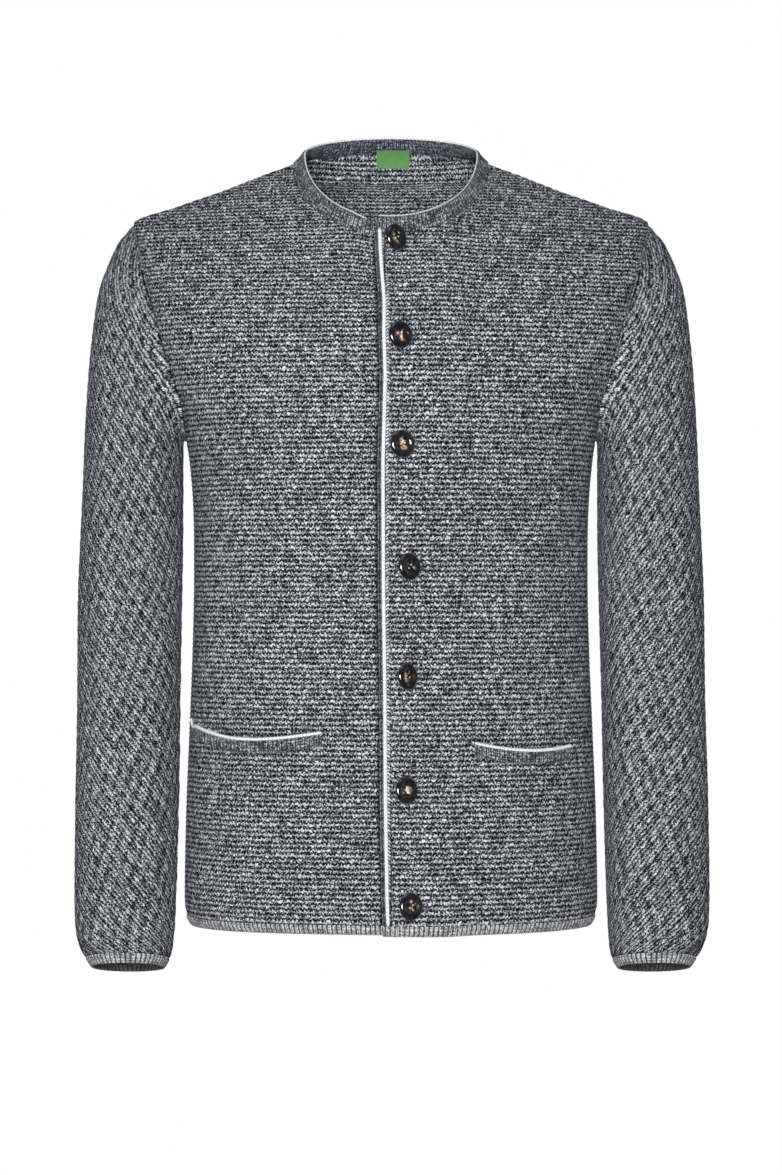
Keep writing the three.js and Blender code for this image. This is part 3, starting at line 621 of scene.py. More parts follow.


# Sleeve knit: the same yarn, with painted shade where strands dip under others and in the stitches' gaps,
# painted light on raised strands, and small uneven stitches on them.
def makeSleeveKnit():
    look = {"slope": -0.942, "stitch": 0.0046, "row": 0.0034, "uneven": 1.3, "gapDepth": 0.97,
            "shade": 0.55, "height": 0.8, "raised": 0.65, "dipped": 0.75, "brown": 0.75}
    material, tree, shader = startMaterial("melange_lattice_knit", roughness=1.0, specular=0.08)
    uv = readUv(tree)
    relief, inside = readMask(tree, "relief"), readMask(tree, "inside")
    slope = addNode(tree, "ShaderNodeMapping", {"Vector": uv, "Rotation": (0.0, 0.0, look["slope"])},
                    vector_type="POINT").outputs[0]
    stitches = useGroup(tree, purl, {"UV": slope, "Stitch": look["stitch"], "Row": look["row"],
                                     "Uneven": look["uneven"]})
    # Painted light on raised strands and painted shade on dipped ones, from the relief mask
    tone = ((relief - 0.56) * look["raised"]
            + stitchTone(stitches["Shade"], stitches["Height"], look["shade"], look["height"]))
    yarn = useGroup(tree, melange, {"Place": uv, "Grain": 0.8, "Tone": tone, "Contrast": 0.8})
    lit = blendColour(tree, stitches["Gap"] * look["gapDepth"], yarn["Color"], paintedShadeColour)
    # Painted shade in the dips under strands and along the armhole seam, where the relief mask is low
    dipShaded = blendColour(tree, relief.spread(-0.05, 0.5, (look["dipped"], 0.0)), lit, colour(24, 26, 31))
    link(tree, blendColour(tree, inside * look["brown"], dipShaded, colour(52, 43, 44)), shader, "Base Color")
    addBump(tree, shader, stitches["Height"] + yarn["Fibre"] * 0.5, 0.002)
    return material


# Ribbed yarn for bands and trims: melange between three greys, with fine slanted stitches on the ribs, and
# painted shade in the furrows between ribs and in the stitches' gaps.
def makeRibKnit(name, dark, middle, light, contrast, insideColour, insideKind="MIX"):
    material, tree, shader = startMaterial(name, sheen=0.1)
    uv = readUv(tree)
    inside = readMask(tree, "inside")
    rib = trimLook["rib"] * metre
    stitches = useGroup(tree, slanted, {"UV": uv, "Along": 0.0024, "Across": rib, "Lean": 1.2})
    tone = stitchTone(stitches["Shade"], stitches["Height"], 0.6 * contrast, 0.6)
    yarn = useGroup(tree, melange, {"Place": uv, "Grain": 0.9, "Dark": dark, "Middle": middle,
                                    "Light": light, "Contrast": contrast, "Tone": tone})
    across = splitUp(tree, "XYZ", uv)[0] / rib
    furrow = (across * 6.28319).math("COSINE") * -0.5 + 0.5
    grooveShade = (stitches["Gap"] * 0.55).math("MAXIMUM", furrow ** 1.3 * 0.95)
    lit = blendColour(tree, grooveShade, yarn["Color"], paintedShadeColour)
    link(tree, blendColour(tree, inside * 0.8, lit, insideColour, insideKind), shader, "Base Color")
    addBump(tree, shader, stitches["Height"] + yarn["Fibre"] * 0.4, 0.0007)
    return material


def makeLightTrim():
    greys = [colour(100, 101, 107), colour(206, 207, 212), colour(254, 254, 255)]
    return makeRibKnit("light_ribbed_trim", *greys, 0.9, colour(36, 30, 31))


def makeBandKnit():
    greys = [colour(22, 24, 31), colour(104, 110, 120), colour(226, 231, 240)]
    return makeRibKnit("fine_melange_rib", *greys, 1.1, colour(214, 220, 236), "MULTIPLY")


# White knitted cord: slightly uneven white yarn in small slanted stitches, with painted shade in the gaps
# between them.
def makeCord():
    material, tree, shader = startMaterial("white_knitted_cord", roughness=0.85, sheen=0.2)
    uv = readUv(tree)
    whites = {"Dark": colour(214, 216, 222), "Middle": colour(246, 247, 250), "Light": colour(254, 254, 255)}
    yarn = useGroup(tree, melange, {"Place": uv, "Grain": 1.2, **whites, "Contrast": 0.7})
    stitches = useGroup(tree, slanted, {"UV": uv, "Along": 0.0034, "Across": 0.005, "Lean": 1.1})
    lit = blendColour(tree, stitches["Gap"] * 0.6, yarn["Color"], colour(112, 116, 126))
    link(tree, lit, shader, "Base Color")
    addBump(tree, shader, stitches["Height"] + yarn["Fibre"] * 0.3, 0.0008)
    return material


# Polished dark horn: slow smoky bands, a brown and cream patch near the middle, light thread in the holes.
def makeHorn():
    material, tree, shader = startMaterial("dark_horn", roughness=0.12, specular=0.75)
    shader.inputs["Coat Roughness"].default_value = 0.04
    shader.inputs["Coat IOR"].default_value = 1.7
    place = addNode(tree, "ShaderNodeTexCoord").outputs["Object"]
    middle, thread = readMask(tree, "middle"), readMask(tree, "thread")
    smoke = Value(tree, noise(tree, 150.0, 4.0, Vector=place, Distortion=1.4)["Fac"])
    fleck = Value(tree, noise(tree, 150.0, 2.0, Vector=place, Distortion=1.0)["Fac"])
    smoky = blendColour(tree, smoke.spread(0.4, 0.75), colour(10, 10, 12), colour(44, 42, 44))
    brown = blendColour(tree, fleck.spread(0.5, 0.58) * middle, smoky, colour(150, 116, 94))
    flecked = blendColour(tree, fleck.spread(0.58, 0.63) * middle, brown, colour(226, 210, 190))
    link(tree, blendColour(tree, thread, flecked, colour(240, 232, 200)), shader, "Base Color")
    link(tree, thread.spread(0.0, 1.0, (0.12, 0.8)), shader, "Roughness")
    link(tree, thread.math("SUBTRACT", first=1.0), shader, "Coat Weight")
    addBump(tree, shader, smoke, 0.0001)
    return material


# Plain woven satin label: close threads across it.
def makeLabelCloth():
    material, tree, shader = startMaterial("green_satin", roughness=0.45, specular=0.5, sheen=0.3)
    uv = readUv(tree)
    weave = {"Vector": uv, "Scale": 420.0, "Distortion": 1.0, "Detail": 1.0}
    made = addNode(tree, "ShaderNodeTexWave", weave, bands_direction="Y")
    threads = Value(tree, made.outputs["Fac"])
    patchy = Value(tree, noise(tree, 160.0, 2.0, Vector=uv)["Fac"])
    greens = colour(50, 108, 44), colour(98, 160, 78)
    link(tree, blendColour(tree, threads * 0.4 + patchy * 0.6, *greens), shader, "Base Color")
    addBump(tree, shader, threads, 0.0002)
    return material


# Buttonhole: close dark stitches round a slit, which is painted near-black as the shade inside the opening,
# with painted shade in the stitches' gaps.
def makeButtonholeCloth():
    material, tree, shader = startMaterial("buttonhole_stitches", roughness=0.9)
    uv, slit = readUv(tree), readMask(tree, "slit")
    stitches = useGroup(tree, slanted, {"UV": uv, "Along": 0.02, "Across": 0.0012, "Lean": 0.1})
    dark = colour(66, 69, 77)
    lighter = tuple(part * 1.6 for part in dark[:3]) + (1.0,)
    grey = blendColour(tree, noise(tree, 500.0, 1.0)["Fac"], dark, lighter)
    lit = blendColour(tree, stitches["Gap"] * 0.7, grey, paintedShadeColour)
    link(tree, blendColour(tree, slit, lit, colour(10, 10, 12)), shader, "Base Color")
    addBump(tree, shader, stitches["Height"], 0.0004)
    return material


# The three body panels
# Their rows lie level as the knitting does: a row runs at one height between the edges that it meets.
panelKnit = {
    "wall": 3.0, "rowPitch": 4.4, "rowHeight": 0.62, "topZ": {"front": 1.2, "back": 18.3},
    "columns": {"front": 128, "back": 184}, "finePerRow": {"front": 4, "back": 3}, "innerStep": 4,
    "bandWidth": 9.0,  # strip of finer knit beside the front's free edge, counted from it
}
cuts = {}  # each cloth piece's cut: width, length and area, in mm
edgeRows = np.linspace(ringRow["hemSeam"] + seamStep, ringRow["neckSeam"] - seamStep, 3000)
neckTurns = np.linspace(0.0, np.pi / 2, 600)


# Heights of the purl rows, evenly spaced along the surface over a line 100 mm from the middle.
def rowHeights(face):
    top = panelKnit["topZ"][face]
    z = np.linspace(torsoRings[1][3] + 0.2, top, 2000)
    line = bodyAt(np.full(z.shape, 100.0), np.minimum(z, -6.0), face)
    line[:, 2] = z
    length = runLength(line)
    count = int(round(length[-1] / panelKnit["rowPitch"]))
    return np.interp(np.linspace(0, length[-1], count + 1), length, z), length[-1] / count


# The smooth base points of a panel, one row of knitting after another, spaced evenly along each row.
def panelBase(part):
    face = "back" if part == "back" else "front"
    z, pitch = rowHeights(face)
    sideAt = sideTurn(edgeRows, face)
    edge = torsoPoint(sideAt if face == "front" else np.pi - sideAt, edgeRows)
    side = np.interp(z, edge[:, 2], edge[:, 0])
    turns = neckTurns if face == "front" else np.pi - neckTurns
    neck = torsoPoint(turns, ringRow["neckSeam"] - seamStep)
    neckStart = neck[0, 2]
    t = np.linspace(0, 1, 320)[None]
    if face == "front":
        atNeck = np.interp(z, neck[:, 2], neck[:, 0])
        above, under = (atNeck, edgeX(z)) if part == "left" else (-atNeck, lap["underEdgeX"])
        inner = np.where(z > neckStart, above, under)
        start, end = inner, (side if part == "left" else -side)
        x = start[:, None] + (end - start)[:, None] * np.sin(t * np.pi / 2)
    else:
        reach = np.where(z > torsoRings[ringRow["neckSeam"]][3], np.interp(-z, -neck[:, 2], neck[:, 0]), side)
        x = reach[:, None] * np.sin((1 - 2 * t) * np.pi / 2)
    points = bodyAt(x, np.broadcast_to(z[:, None], x.shape), face)
    points[..., 0] = x
    lengths = rowLengths(points)
    columns = panelKnit["columns"][face]
    shares = np.linspace(0, 1, columns + 1)
    base = np.empty((len(z), columns + 1, 3))
    across = np.empty((len(z), columns + 1))
    for row in range(len(z)):
        at = shares * lengths[row, -1]
        across[row] = at
        for axis in range(3):
            base[row, :, axis] = np.interp(at, lengths[row], points[row, :, axis])
    if part == "left":
        u = x[:, :1] + across
    elif part == "right":
        u = (x[:, :1] - across)[:, ::-1]
        base = base[:, ::-1]
    else:
        u = across - across[:, -1:] / 2
    return base, u, pitch


# A panel as it hangs: base, lifted or dropped at the lap, with its folds. Then the purl rows stand out of it.
def panelPiece(part, material):
    face = "back" if part == "back" else "front"
    base, u, pitch = panelBase(part)
    rows = len(base)
    fine = panelKnit["finePerRow"][face]
    at = np.linspace(0, rows - 1, (rows - 1) * fine + 1)
    cloth = between(base.reshape(rows, -1), at).reshape(len(at), -1, 3)
    uFine = between(u, at)
    w = np.broadcast_to((at * pitch)[:, None], uFine.shape)
    normal = gridNormals(cloth)
    x, z = cloth[..., 0], cloth[..., 2]
    out = bodyFolds(x, z, face)
    if face == "front":
        out += pocketDips(x, z)
    if part == "left":
        out += lapLift(x)
    cloth = cloth + normal * out[..., None]
    if part == "right":
        cloth[..., 2] -= underDrop(x, z)
    fromEdge = uFine - uFine[:, :1]
    below = z < -74
    stripWidth = panelKnit["bandWidth"]
    onStrip = 1 - smoothstep(stripWidth - 1, stripWidth + 1, fromEdge)
    band = np.where(below & (part == "left"), onStrip, 0.0)
    # Painted shadow on the cloth: beside the left front's lapping edge on the right front, in the pocket
    # mouths and under the welts, and along the armhole seams near the armpits
    paintedShadow = smoothstep(3.6, 1.2, edgeX(z) - x) * (part == "right")
    if face == "front":
        paintedShadow = np.maximum(paintedShadow, pocketShadow(x, z))
    fromSide = uFine[:, -1:] - uFine if part == "left" else uFine - uFine[:, :1]
    fromSide = np.minimum(fromSide, uFine[:, -1:] - uFine) if part == "back" else fromSide
    nearArmpit = smoothstep(-300, -255, z) * smoothstep(-150, -215, z)
    paintedShadow = np.maximum(paintedShadow, 0.55 * nearArmpit * np.exp(-(fromSide / 5.0) ** 2))
    ridge = np.abs(np.sin(np.pi * at))[:, None] ** 0.8 - 0.55
    ends = np.minimum(at, at[-1] - at)[:, None] / fine
    share = np.linspace(0, 1, u.shape[1])[None]
    rim = smoothstep(0, 0.012, share) * smoothstep(0, 0.012, 1 - share) * smoothstep(0, 0.5, ends)
    relief = panelKnit["rowHeight"] * ridge * (1 - band) * rim - 0.5 * (1 - rim)
    step = panelKnit["innerStep"]
    inner = (cloth - normal * panelKnit["wall"])[::fine, ::step]
    outer = cloth + normal * relief[..., None]
    uv = np.stack([uFine, w], axis=-1)
    masks = {"band": (band, 0.0), "inside": (0 * band, 1.0), "shadow": (paintedShadow + 0 * band, 0.0)}
    node = "back" if part == "back" else "front_" + part
    piece = clothWall("cloth_" + node, outer, inner, uv, uv[::fine, ::step], masks=masks, material=material)
    widths = np.abs(u[:, -1] - u[:, 0])
    cuts[piece.name] = [widths.max(), pitch * (rows - 1), widths.mean() * pitch * (rows - 1)]
    return finishPiece(piece, "body_knit", node)


# Pocket lines, read from the picture: places along the white cord, in its pixels
pockets = {
    "right": [[193, 719], [194.5, 727], [214, 734], [233, 739], [253.5, 740.3], [277, 739.3],
              [297, 736.7], [322, 733.7]],
    "left": [[475, 744], [500, 748.7], [521, 751], [542, 751], [557, 749.7], [573, 746.3]],
}
pocketLook = {"mouthDip": 2.0, "mouthAbove": 4.5, "mouthWidth": 3.2, "weltHeight": 10.5, "weltOut": 1.5,
              "cordWidth": 3.0, "cordOut": 1.0}


# Height above a pocket's cord, and how far a place lies within the pocket's width: 0 outside it and 1 inside.
def pocketPlace(places, x, z):
    line = (np.array(places) - view["middlePixel"]) * (1, -1) * 0.856 + (0, view["height"] / metre)
    order = np.argsort(line[:, 0])
    start, end = line[order[0], 0], line[order[-1], 0]
    inside = smoothstep(start - 3, start + 8, x) * smoothstep(end + 3, end - 8, x)
    return z - np.interp(x, line[order, 0], line[order, 1]), inside


# The cloth sinks a little just above each pocket's cord, as the mouth stands open there.
def pocketDips(x, z):
    total = 0 * x
    for places in pockets.values():
        above, inside = pocketPlace(places, x, z)
        t = (above - pocketLook["mouthAbove"]) / pocketLook["mouthWidth"]
        total = total - pocketLook["mouthDip"] * inside * np.exp(-t**2)
    return total


# Painted shade in the mouth above each cord, and a painted shadow line along the seam beneath each welt.
def pocketShadow(x, z):
    total = 0 * x
    for places in pockets.values():
        above, inside = pocketPlace(places, x, z)
        mouth = 0.5 * smoothstep(0.0, 2.5, above) * smoothstep(10.0, 3.0, above)
        seam = 0.7 * np.exp(-((above + pocketLook["weltHeight"] + 1.4) / 1.0) ** 2)
        total = np.maximum(total, inside * np.maximum(mouth, seam))
    return total


panelPitch = rowHeights("front")[1]
bodyKnit = makeBodyKnit()
panels = {part: panelPiece(part, bodyKnit) for part in ("right", "left", "back")}
print("panels made:", {name: len(piece.data.polygons) for name, piece in panels.items()})

# Sleeves
# outerX, outerZ, innerX, innerZ, middleY, halfDepth, lean, follow, which says how much of the armhole's own
# shape the ring keeps
sleeveRings = np.array([
    [229.0, -52.7, 181.0, -246.0, 0, 59.0, 0, 1],
    [240.5, -67.0, 182.8, -243.2, 0, 60.5, 0, 0.85],
    [249.5, -86.0, 184.6, -245.5, 0, 61.5, 0, 0.6],
    [258.7, -113.0, 185.2, -249.5, 0, 62.5, 0, 0.35],
    [264.5, -155.0, 185.3, -255.0, 0, 63.0, 0, 0.12],
    [268.0, -195.0, 185.3, -262.0, 0, 63.0, 0, 0],
    [270.8, -243.0, 185.3, -277.0, 1, 62.5, 0, 0],
    [272.6, -290.0, 185.3, -303.0, 2, 61.5, 0, 0],
    [275.0, -340.0, 185.5, -344.0, 3, 60.0, 0, 0],
    [277.0, -390.0, 186.5, -391.0, 3, 58.0, 0.02, 0],
    [277.9, -475.0, 188.5, -475.0, 0, 54.5, 0.08, 0],
    [279.2, -560.0, 189.3, -560.0, -10, 51.0, 0.14, 0],
    [278.6, -630.0, 190.0, -630.0, -24, 47.5, 0.19, 0],
    [277.0, -668.0, 190.8, -668.0, -33, 45.5, 0.21, 0],
    [273.5, -687.0, 192.0, -687.0, -38, 44.0, 0.21, 0],
    [267.5, -699.5, 194.5, -699.5, -41, 42.0, 0.21, 0],  # cuff seam
    [261.5, -708.0, 199.5, -708.0, -43, 39.0, 0.21, 0],  # cuff edge
])
sleeveLook = {
    "roundness": 2.15, "cuffSeam": 15, "cuffEdge": 16, "rows": 320, "columns": 220, "innerStep": 4,
    "wall": 3.0,
    "tubeRow": 7,  # from this ring down the sleeve is a plain tube
    "strandDown": (8 * 0.889, 11 * 0.889), "strandBack": (-5 * 0.889, 13 * 0.889),  # along u and w, in mm
    "latticeHeight": 1.25, "strandShare": 0.55,
}


# A point of the plain sleeve: angle 0 at the underarm, a quarter turn in front and a half turn on the
# outside.
def sleevePoint(angle, s):
    angle, s = np.broadcast_arrays(np.asarray(angle, float), np.asarray(s, float))
    outerX, outerZ, innerX, innerZ, middleY, halfDepth, lean, _ = np.moveaxis(between(sleeveRings, s), -1, 0)
    power = 2 / sleeveLook["roundness"]
    around, forward = np.cos(angle), np.sin(angle)
    outward = (1 - np.sign(around) * np.abs(around) ** power) / 2
    y = middleY - halfDepth * np.sign(forward) * np.abs(forward) ** power
    z = mix(innerZ, outerZ, outward) - lean * (y - middleY)
    return np.stack([mix(innerX, outerX, outward), y, z], axis=-1)


# The armhole's edge at the angles of the sleeve: up the front, over the shoulder point and down the back.
def armholeAt(angle):
    rows = ringRow["underarm"] + 2 - 2 * np.cos(np.linspace(0, np.pi, 1500))
    loop = np.empty((len(angle), 3))
    for face, low, high in (("front", 0, np.pi), ("back", np.pi, 2 * np.pi)):
        turn = sideTurn(rows, face)
        edge = torsoPoint(turn if face == "front" else np.pi - turn, rows)
        edge[[0, -1], 1] = 0
        edge = edge if face == "front" else edge[::-1]
        dense = np.linspace(low, high, 800)
        chosen = (angle >= low) & (angle <= high)
        share = np.interp(angle[chosen], dense, lengthShares(sleevePoint(dense, 0.0)))
        for axis in range(3):
            loop[chosen, axis] = np.interp(share, lengthShares(edge), edge[:, axis])
    inward = unit(loop.mean(0) - loop)
    along = unit(np.roll(loop, -1, axis=0) - np.roll(loop, 1, axis=0))
    inward = unit(inward - along * np.sum(inward * along, axis=1, keepdims=True))
    return loop + inward * armhole["gap"]


# Knitting coordinates of sleeve points: w runs down the outside line, u round from it towards the front.
def sleeveKnit(points, s):
    ring = between(sleeveRings, s)
    z = points[..., 2] + ring[..., 6] * (points[..., 1] - ring[..., 4])
    dense = np.linspace(0, sleeveLook["cuffEdge"], 900)
    line = sleevePoint(np.pi, dense)
    length = runLength(line)
    w = np.interp(-z, -line[:, 2], length)
    table = between(sleeveRings, dense)
    half = np.where(dense < sleeveLook["tubeRow"], 43.65, (table[:, 0] - table[:, 2]) / 2)
    a = np.interp(-z, -line[:, 2], half)
    centre = np.interp(-z, -line[:, 2], line[:, 0]) - a
    h, middle = ring[..., 5], ring[..., 4]
    turn = np.arctan2(-(points[..., 1] - middle) / h, (points[..., 0] - centre) / a)
    turns = np.linspace(-np.pi, np.pi, 721)
    power = 2 / sleeveLook["roundness"]
    oval = [np.sign(part) * np.abs(part) ** power for part in (np.cos(turns), np.sin(turns))]
    arc = np.stack(oval, axis=1) * (1, 1.4)
    lengths = runLength(arc) / 2.4
    u = np.interp(turn, turns, lengths - lengths[-1] / 2) * (a + h)
    return u, w


# Two sets of round strands that pass over and under each other, and both slope down the sleeve:
# a point's place is split along both strands, and the higher strand there is the one that shows.
def strandRelief(u, w):
    (au, aw), (bu, bw) = sleeveLook["strandDown"], sleeveLook["strandBack"]
    area = au * bw - aw * bu
    alongDown = (u * bw - w * bu) / area
    alongBack = (w * au - u * aw) / area
    nearDown, nearBack = np.round(alongDown), np.round(alongBack)
    swing = 1 - sleeveLook["strandShare"]
    first = 1 - (2 * (alongBack - nearBack)) ** 2 * 0.9
    second = 1 - (2 * (alongDown - nearDown)) ** 2 * 0.9
    over = np.cos(np.pi * (alongDown + nearBack))
    under = -np.cos(np.pi * (alongBack + nearDown))
    share = sleeveLook["strandShare"]
    return np.maximum(first * share + swing * over, second * share + swing * under)


# Folds on the sleeves, in knitting coordinates: u and w of both ends, height and half width.
sleeveCreases = {
    "right": [[40, 330, 112, 262, -2.4, 9], [48, 372, 116, 306, 1.9, 9], [30, 430, 104, 366, -1.6, 10],
              [112, 60, 60, 130, -1.8, 9], [-50, 300, -120, 250, -2.2, 10], [-40, 380, -116, 318, 1.7, 10],
              [58, 560, 96, 640, -1.5, 9], [20, 520, 70, 600, 1.2, 10], [-100, 70, -60, 150, -1.6, 10]],
    "left": [[46, 318, 112, 258, -2.2, 9], [40, 388, 114, 316, -2.0, 9], [44, 352, 116, 286, 1.8, 9],
             [110, 58, 64, 120, -1.7, 9], [-44, 310, -118, 248, -2.1, 10], [-48, 396, -118, 330, -1.6, 10],
             [62, 540, 92, 632, 1.4, 9], [30, 600, 74, 520, -1.4, 10], [-98, 66, -62, 140, -1.7, 10]],
}


def sleevePlaces(count):
    dense = np.linspace(0, sleeveLook["cuffSeam"] - seamStep, 900)
    shares = lengthShares(sleevePoint(np.pi, dense))
    return np.interp(np.linspace(0, 1, count + 1), shares, dense)


# A sleeve's grids for the other side: the columns run the other way, and the walls' points have x negated.
def mirrored(grids):
    turned = [np.concatenate([grid[:, :1], grid[:, :0:-1]], axis=1) for grid in grids]
    return [turned[0] * (-1, 1, 1), turned[1] * (-1, 1, 1), *turned[2:]]


def sleevePiece(side, material):
    columns, rows, step = sleeveLook["columns"], sleeveLook["rows"], sleeveLook["innerStep"]
    angle = np.linspace(0, 2 * np.pi, columns, endpoint=False)
    s = np.broadcast_to(sleevePlaces(rows)[::-1, None], (rows + 1, columns))
    cloth = sleevePoint(angle[None], s)
    offset = armholeAt(angle) - sleevePoint(angle, 0.0)
    cloth = cloth + offset[None] * between(sleeveRings, s)[..., 7:8]
    u, w = sleeveKnit(cloth, s)
    normal = gridNormals(cloth, closed=True)
    fromArmhole = np.arange(rows, -1, -1)[:, None] * 1.95
    fromCuff = np.arange(0, rows + 1)[:, None] * 1.95
    settled = smoothstep(0, 45, fromArmhole) * smoothstep(0, 30, fromCuff)
    folds = creases(sleeveCreases[side], u, w) + 0.75 * waves(u * 1.3, w, 0.9 if side == "left" else 2.6)
    cloth = cloth + normal * (folds * settled)[..., None]
    relief = strandRelief(u, w)
    seam = smoothstep(0, 3.0, np.minimum(fromArmhole, fromCuff))
    height = sleeveLook["latticeHeight"] * (relief - 0.25) * smoothstep(0, 6, fromArmhole) - 0.9 * (1 - seam)
    outer = cloth + normal * height[..., None]
    inner = (cloth - normal * sleeveLook["wall"])[::step, ::step]
    uv = np.stack([u, w], axis=-1)
    # Painted shade along the armhole seam, strongest near the armpit, taken into the relief mask
    armpit = 0.35 + 0.65 * smoothstep(-150, -215, cloth[..., 2])
    relief = relief - 0.75 * armpit * (1 - smoothstep(1.0, 7.0, fromArmhole))
    grids = [outer, inner, uv, uv[::step, ::step], relief]
    if side == "right":
        grids = mirrored(grids)
    piece = clothWall(f"cloth_sleeve_{side}", *grids[:4], closed=True,
                      masks={"relief": (grids[4], 0.5), "inside": (0 * grids[4], 1.0)}, material=material)
    around = rowLengths(np.concatenate([cloth, cloth[:, :1]], axis=1))[:, -1]
    tube = s[:, 0] > sleeveLook["tubeRow"]
    down = rowLengths(np.swapaxes(cloth, 0, 1))[columns // 2, -1]
    cuts[piece.name] = [around[tube].max(), down, gridArea(cloth, closed=True)]
    return finishPiece(piece, "sleeve_knit", f"sleeve_{side}")


# How far a cloth's edge rolls in: a quarter circle over the last few millimetres.
def rollIn(distance, width, depth):
    t = 1 - np.clip(distance / width, 0, 1)
    return depth * (1 - np.sqrt(np.maximum(1 - t**2, 0)))


# The light ribbed edge of a cuff: ribs run down it, and its lower edge rolls in.
def cuffPiece(side, material):
    angle = np.linspace(0, 2 * np.pi, 256, endpoint=False)
    share = np.linspace(0, 1, 9)
    s = mix(sleeveLook["cuffEdge"], sleeveLook["cuffSeam"] + 2 * seamStep, share)[:, None]
    cloth = sleevePoint(angle[None], s)
    closedLength = rowLengths(np.concatenate([cloth, cloth[:, :1]], axis=1))
    around = closedLength[0, -1]
    wholeRibs = np.round(around / trimLook["rib"]) * trimLook["rib"]
    u = closedLength[:, :-1] * (wholeRibs / around)
    u = np.broadcast_to(u[:1], u.shape)
    w = np.broadcast_to((share * 10)[:, None], u.shape)
    normal = gridNormals(cloth, closed=True)
    normal = unit(normal * (1, 1, 0.35))
    ribs = trimLook["ribHeight"] * np.cos(2 * np.pi * u / trimLook["rib"])
    edge = rollIn(w, trimLook["rollWidth"], trimLook["roll"]) + rollIn(10 - w, 1.6, 0.7)
    outer = cloth + normal * (trimLook["proud"] + ribs - edge)[..., None]
    inner = (cloth - normal * (trimLook["wall"] - rollIn(w, 2.0, 0.9))[..., None])[::4, ::4]
    uv = np.stack([u, w], axis=-1)
    grids = [outer, inner, uv, uv[::4, ::4]]
    if side == "right":
        grids = mirrored(grids)
    full = grids[2].shape[:2]
    inside = {"inside": (np.zeros(full), 1.0)}
    piece = clothWall(f"trim_cuff_{side}", *grids, closed=True, masks=inside, material=material)
    return finishPiece(piece, "light_trim", f"cuff_trim_{side}")


sleeveKnitMaterial, lightTrim = makeSleeveKnit(), makeLightTrim()
sleeves = {side: sleevePiece(side, sleeveKnitMaterial) for side in ("right", "left")}
cuffs = {side: cuffPiece(side, lightTrim) for side in ("right", "left")}
print("sleeves and cuffs made")


# Places on the fronts
# The front's surface as it hangs, at a given x and height, with its outward direction: base, lap and folds.
def frontSurface(x, z, part="left"):
    x, z = np.broadcast_arrays(np.asarray(x, float), np.asarray(z, float))
    step = 0.8
    point = bodyAt(x, z, "front")
    across = bodyAt(x + step, z, "front") - bodyAt(x - step, z, "front")
    rise = bodyAt(x, z + step, "front") - bodyAt(x, z - step, "front")
    normal = unit(np.cross(across, rise))
    out = bodyFolds(x, z, "front") + pocketDips(x, z) + (lapLift(x) if part == "left" else 0.0)
    point = point + normal * out[..., None]
    if part == "right":
        point[..., 2] -= underDrop(x, z)
    return point, normal


# x and height on the front of a place in the picture, from the camera's distance to the cloth there.
def fromPicture(places, part="left"):
    places = np.asarray(places, float)
    y = np.full(len(places), -0.1)
    for _ in range(4):
        scale = view["mmPerPixel"] * (view["distance"] + y) / view["distance"]
        x = (places[:, 0] - view["middlePixel"][0]) * scale
        z = view["height"] / metre + (view["middlePixel"][1] - places[:, 1]) * scale
        y = frontSurface(x, z, part)[0][:, 1] * metre
    return x, z


# Cords and narrow strips that lie on the cloth
# A flattened round section along a path. across and up are the directions at each place; the section is
# an ellipse whose size swells and shrinks a little with the yarn's twist.
def layCord(name, path, across, up, halfWidth, halfHeight, twist, material, slot, node, around=10, taper=2.0):
    length = runLength(path)
    turn = np.linspace(0, 2 * np.pi, around, endpoint=False)[None]
    swell = 1 + 0.09 * np.cos(2 * np.pi * length[:, None] / twist - turn)
    ends = np.sqrt(np.clip(np.minimum(length, length[-1] - length) / taper, 0.02, 1))[:, None]
    wide = halfWidth * np.cos(turn) * swell * ends
    high = halfHeight * np.sin(turn) * swell * ends
    sections = path[:, None] + across[:, None] * wide[..., None] + up[:, None] * high[..., None]
    u = np.broadcast_to(turn / (2 * np.pi) * 4 * (halfWidth + halfHeight) * 0.8, swell.shape)
    w = np.broadcast_to(length[:, None], swell.shape)
    direction = np.gradient(path, axis=0)
    if np.sum(np.cross(across, up) * direction) < 0:
        sections, u = sections[:, ::-1], u[:, ::-1]
    piece = cordPiece(name, sections, np.stack([u, w], axis=-1), material)
    return finishPiece(piece, slot, *([node] if node else []))


bandKnit, whiteCord = makeBandKnit(), makeCord()

# The armholes' linked seams: a flattened cord of yarn between each sleeve's edge and the body's
seamLook = {"below": 1.7, "halfWidth": 2.6, "halfHeight": 1.3, "places": 261}


def makeArmholeSeam(side):
    angle = np.linspace(0, 2 * np.pi, seamLook["places"])
    edge = armholeAt(angle)
    along = unit(np.gradient(edge, axis=0))
    inward = unit(edge.mean(0) - edge)
    inward = unit(inward - along * np.sum(inward * along, axis=1, keepdims=True))
    across = np.cross(along, inward)
    mirror = np.array([1.0 if side == "left" else -1.0, 1.0, 1.0])
    return layCord(f"seam_armhole_{side}", (edge + inward * seamLook["below"]) * mirror, across * mirror,
                   -inward * mirror, seamLook["halfWidth"], seamLook["halfHeight"], 3.0, bandKnit,
                   "band_knit", None, around=8)


armholeSeams = [makeArmholeSeam(side) for side in ("right", "left")]

# The closing's edge: a rolled grey edge and the white piping beside it, each with its distance from the
# edge, half width and half height
edgeLook = {"edging": (1.3, 1.5, 1.2), "piping": (4.6, 1.75, 1.5), "topZ": -66.5}


def edgeCord(name, key, material, slot, node):
    beside, halfWidth, halfHeight = edgeLook[key]
    z = np.linspace(-663.0, edgeLook["topZ"], 520)
    x = edgeX(z) + beside
    point, normal = frontSurface(x, z)
    sideways = unit(frontSurface(x + 1, z)[0] - frontSurface(x - 1, z)[0])
    path = point + normal * (halfHeight * 0.45)
    return layCord(name, path, sideways, normal, halfWidth, halfHeight, 3.1, material, slot, node)


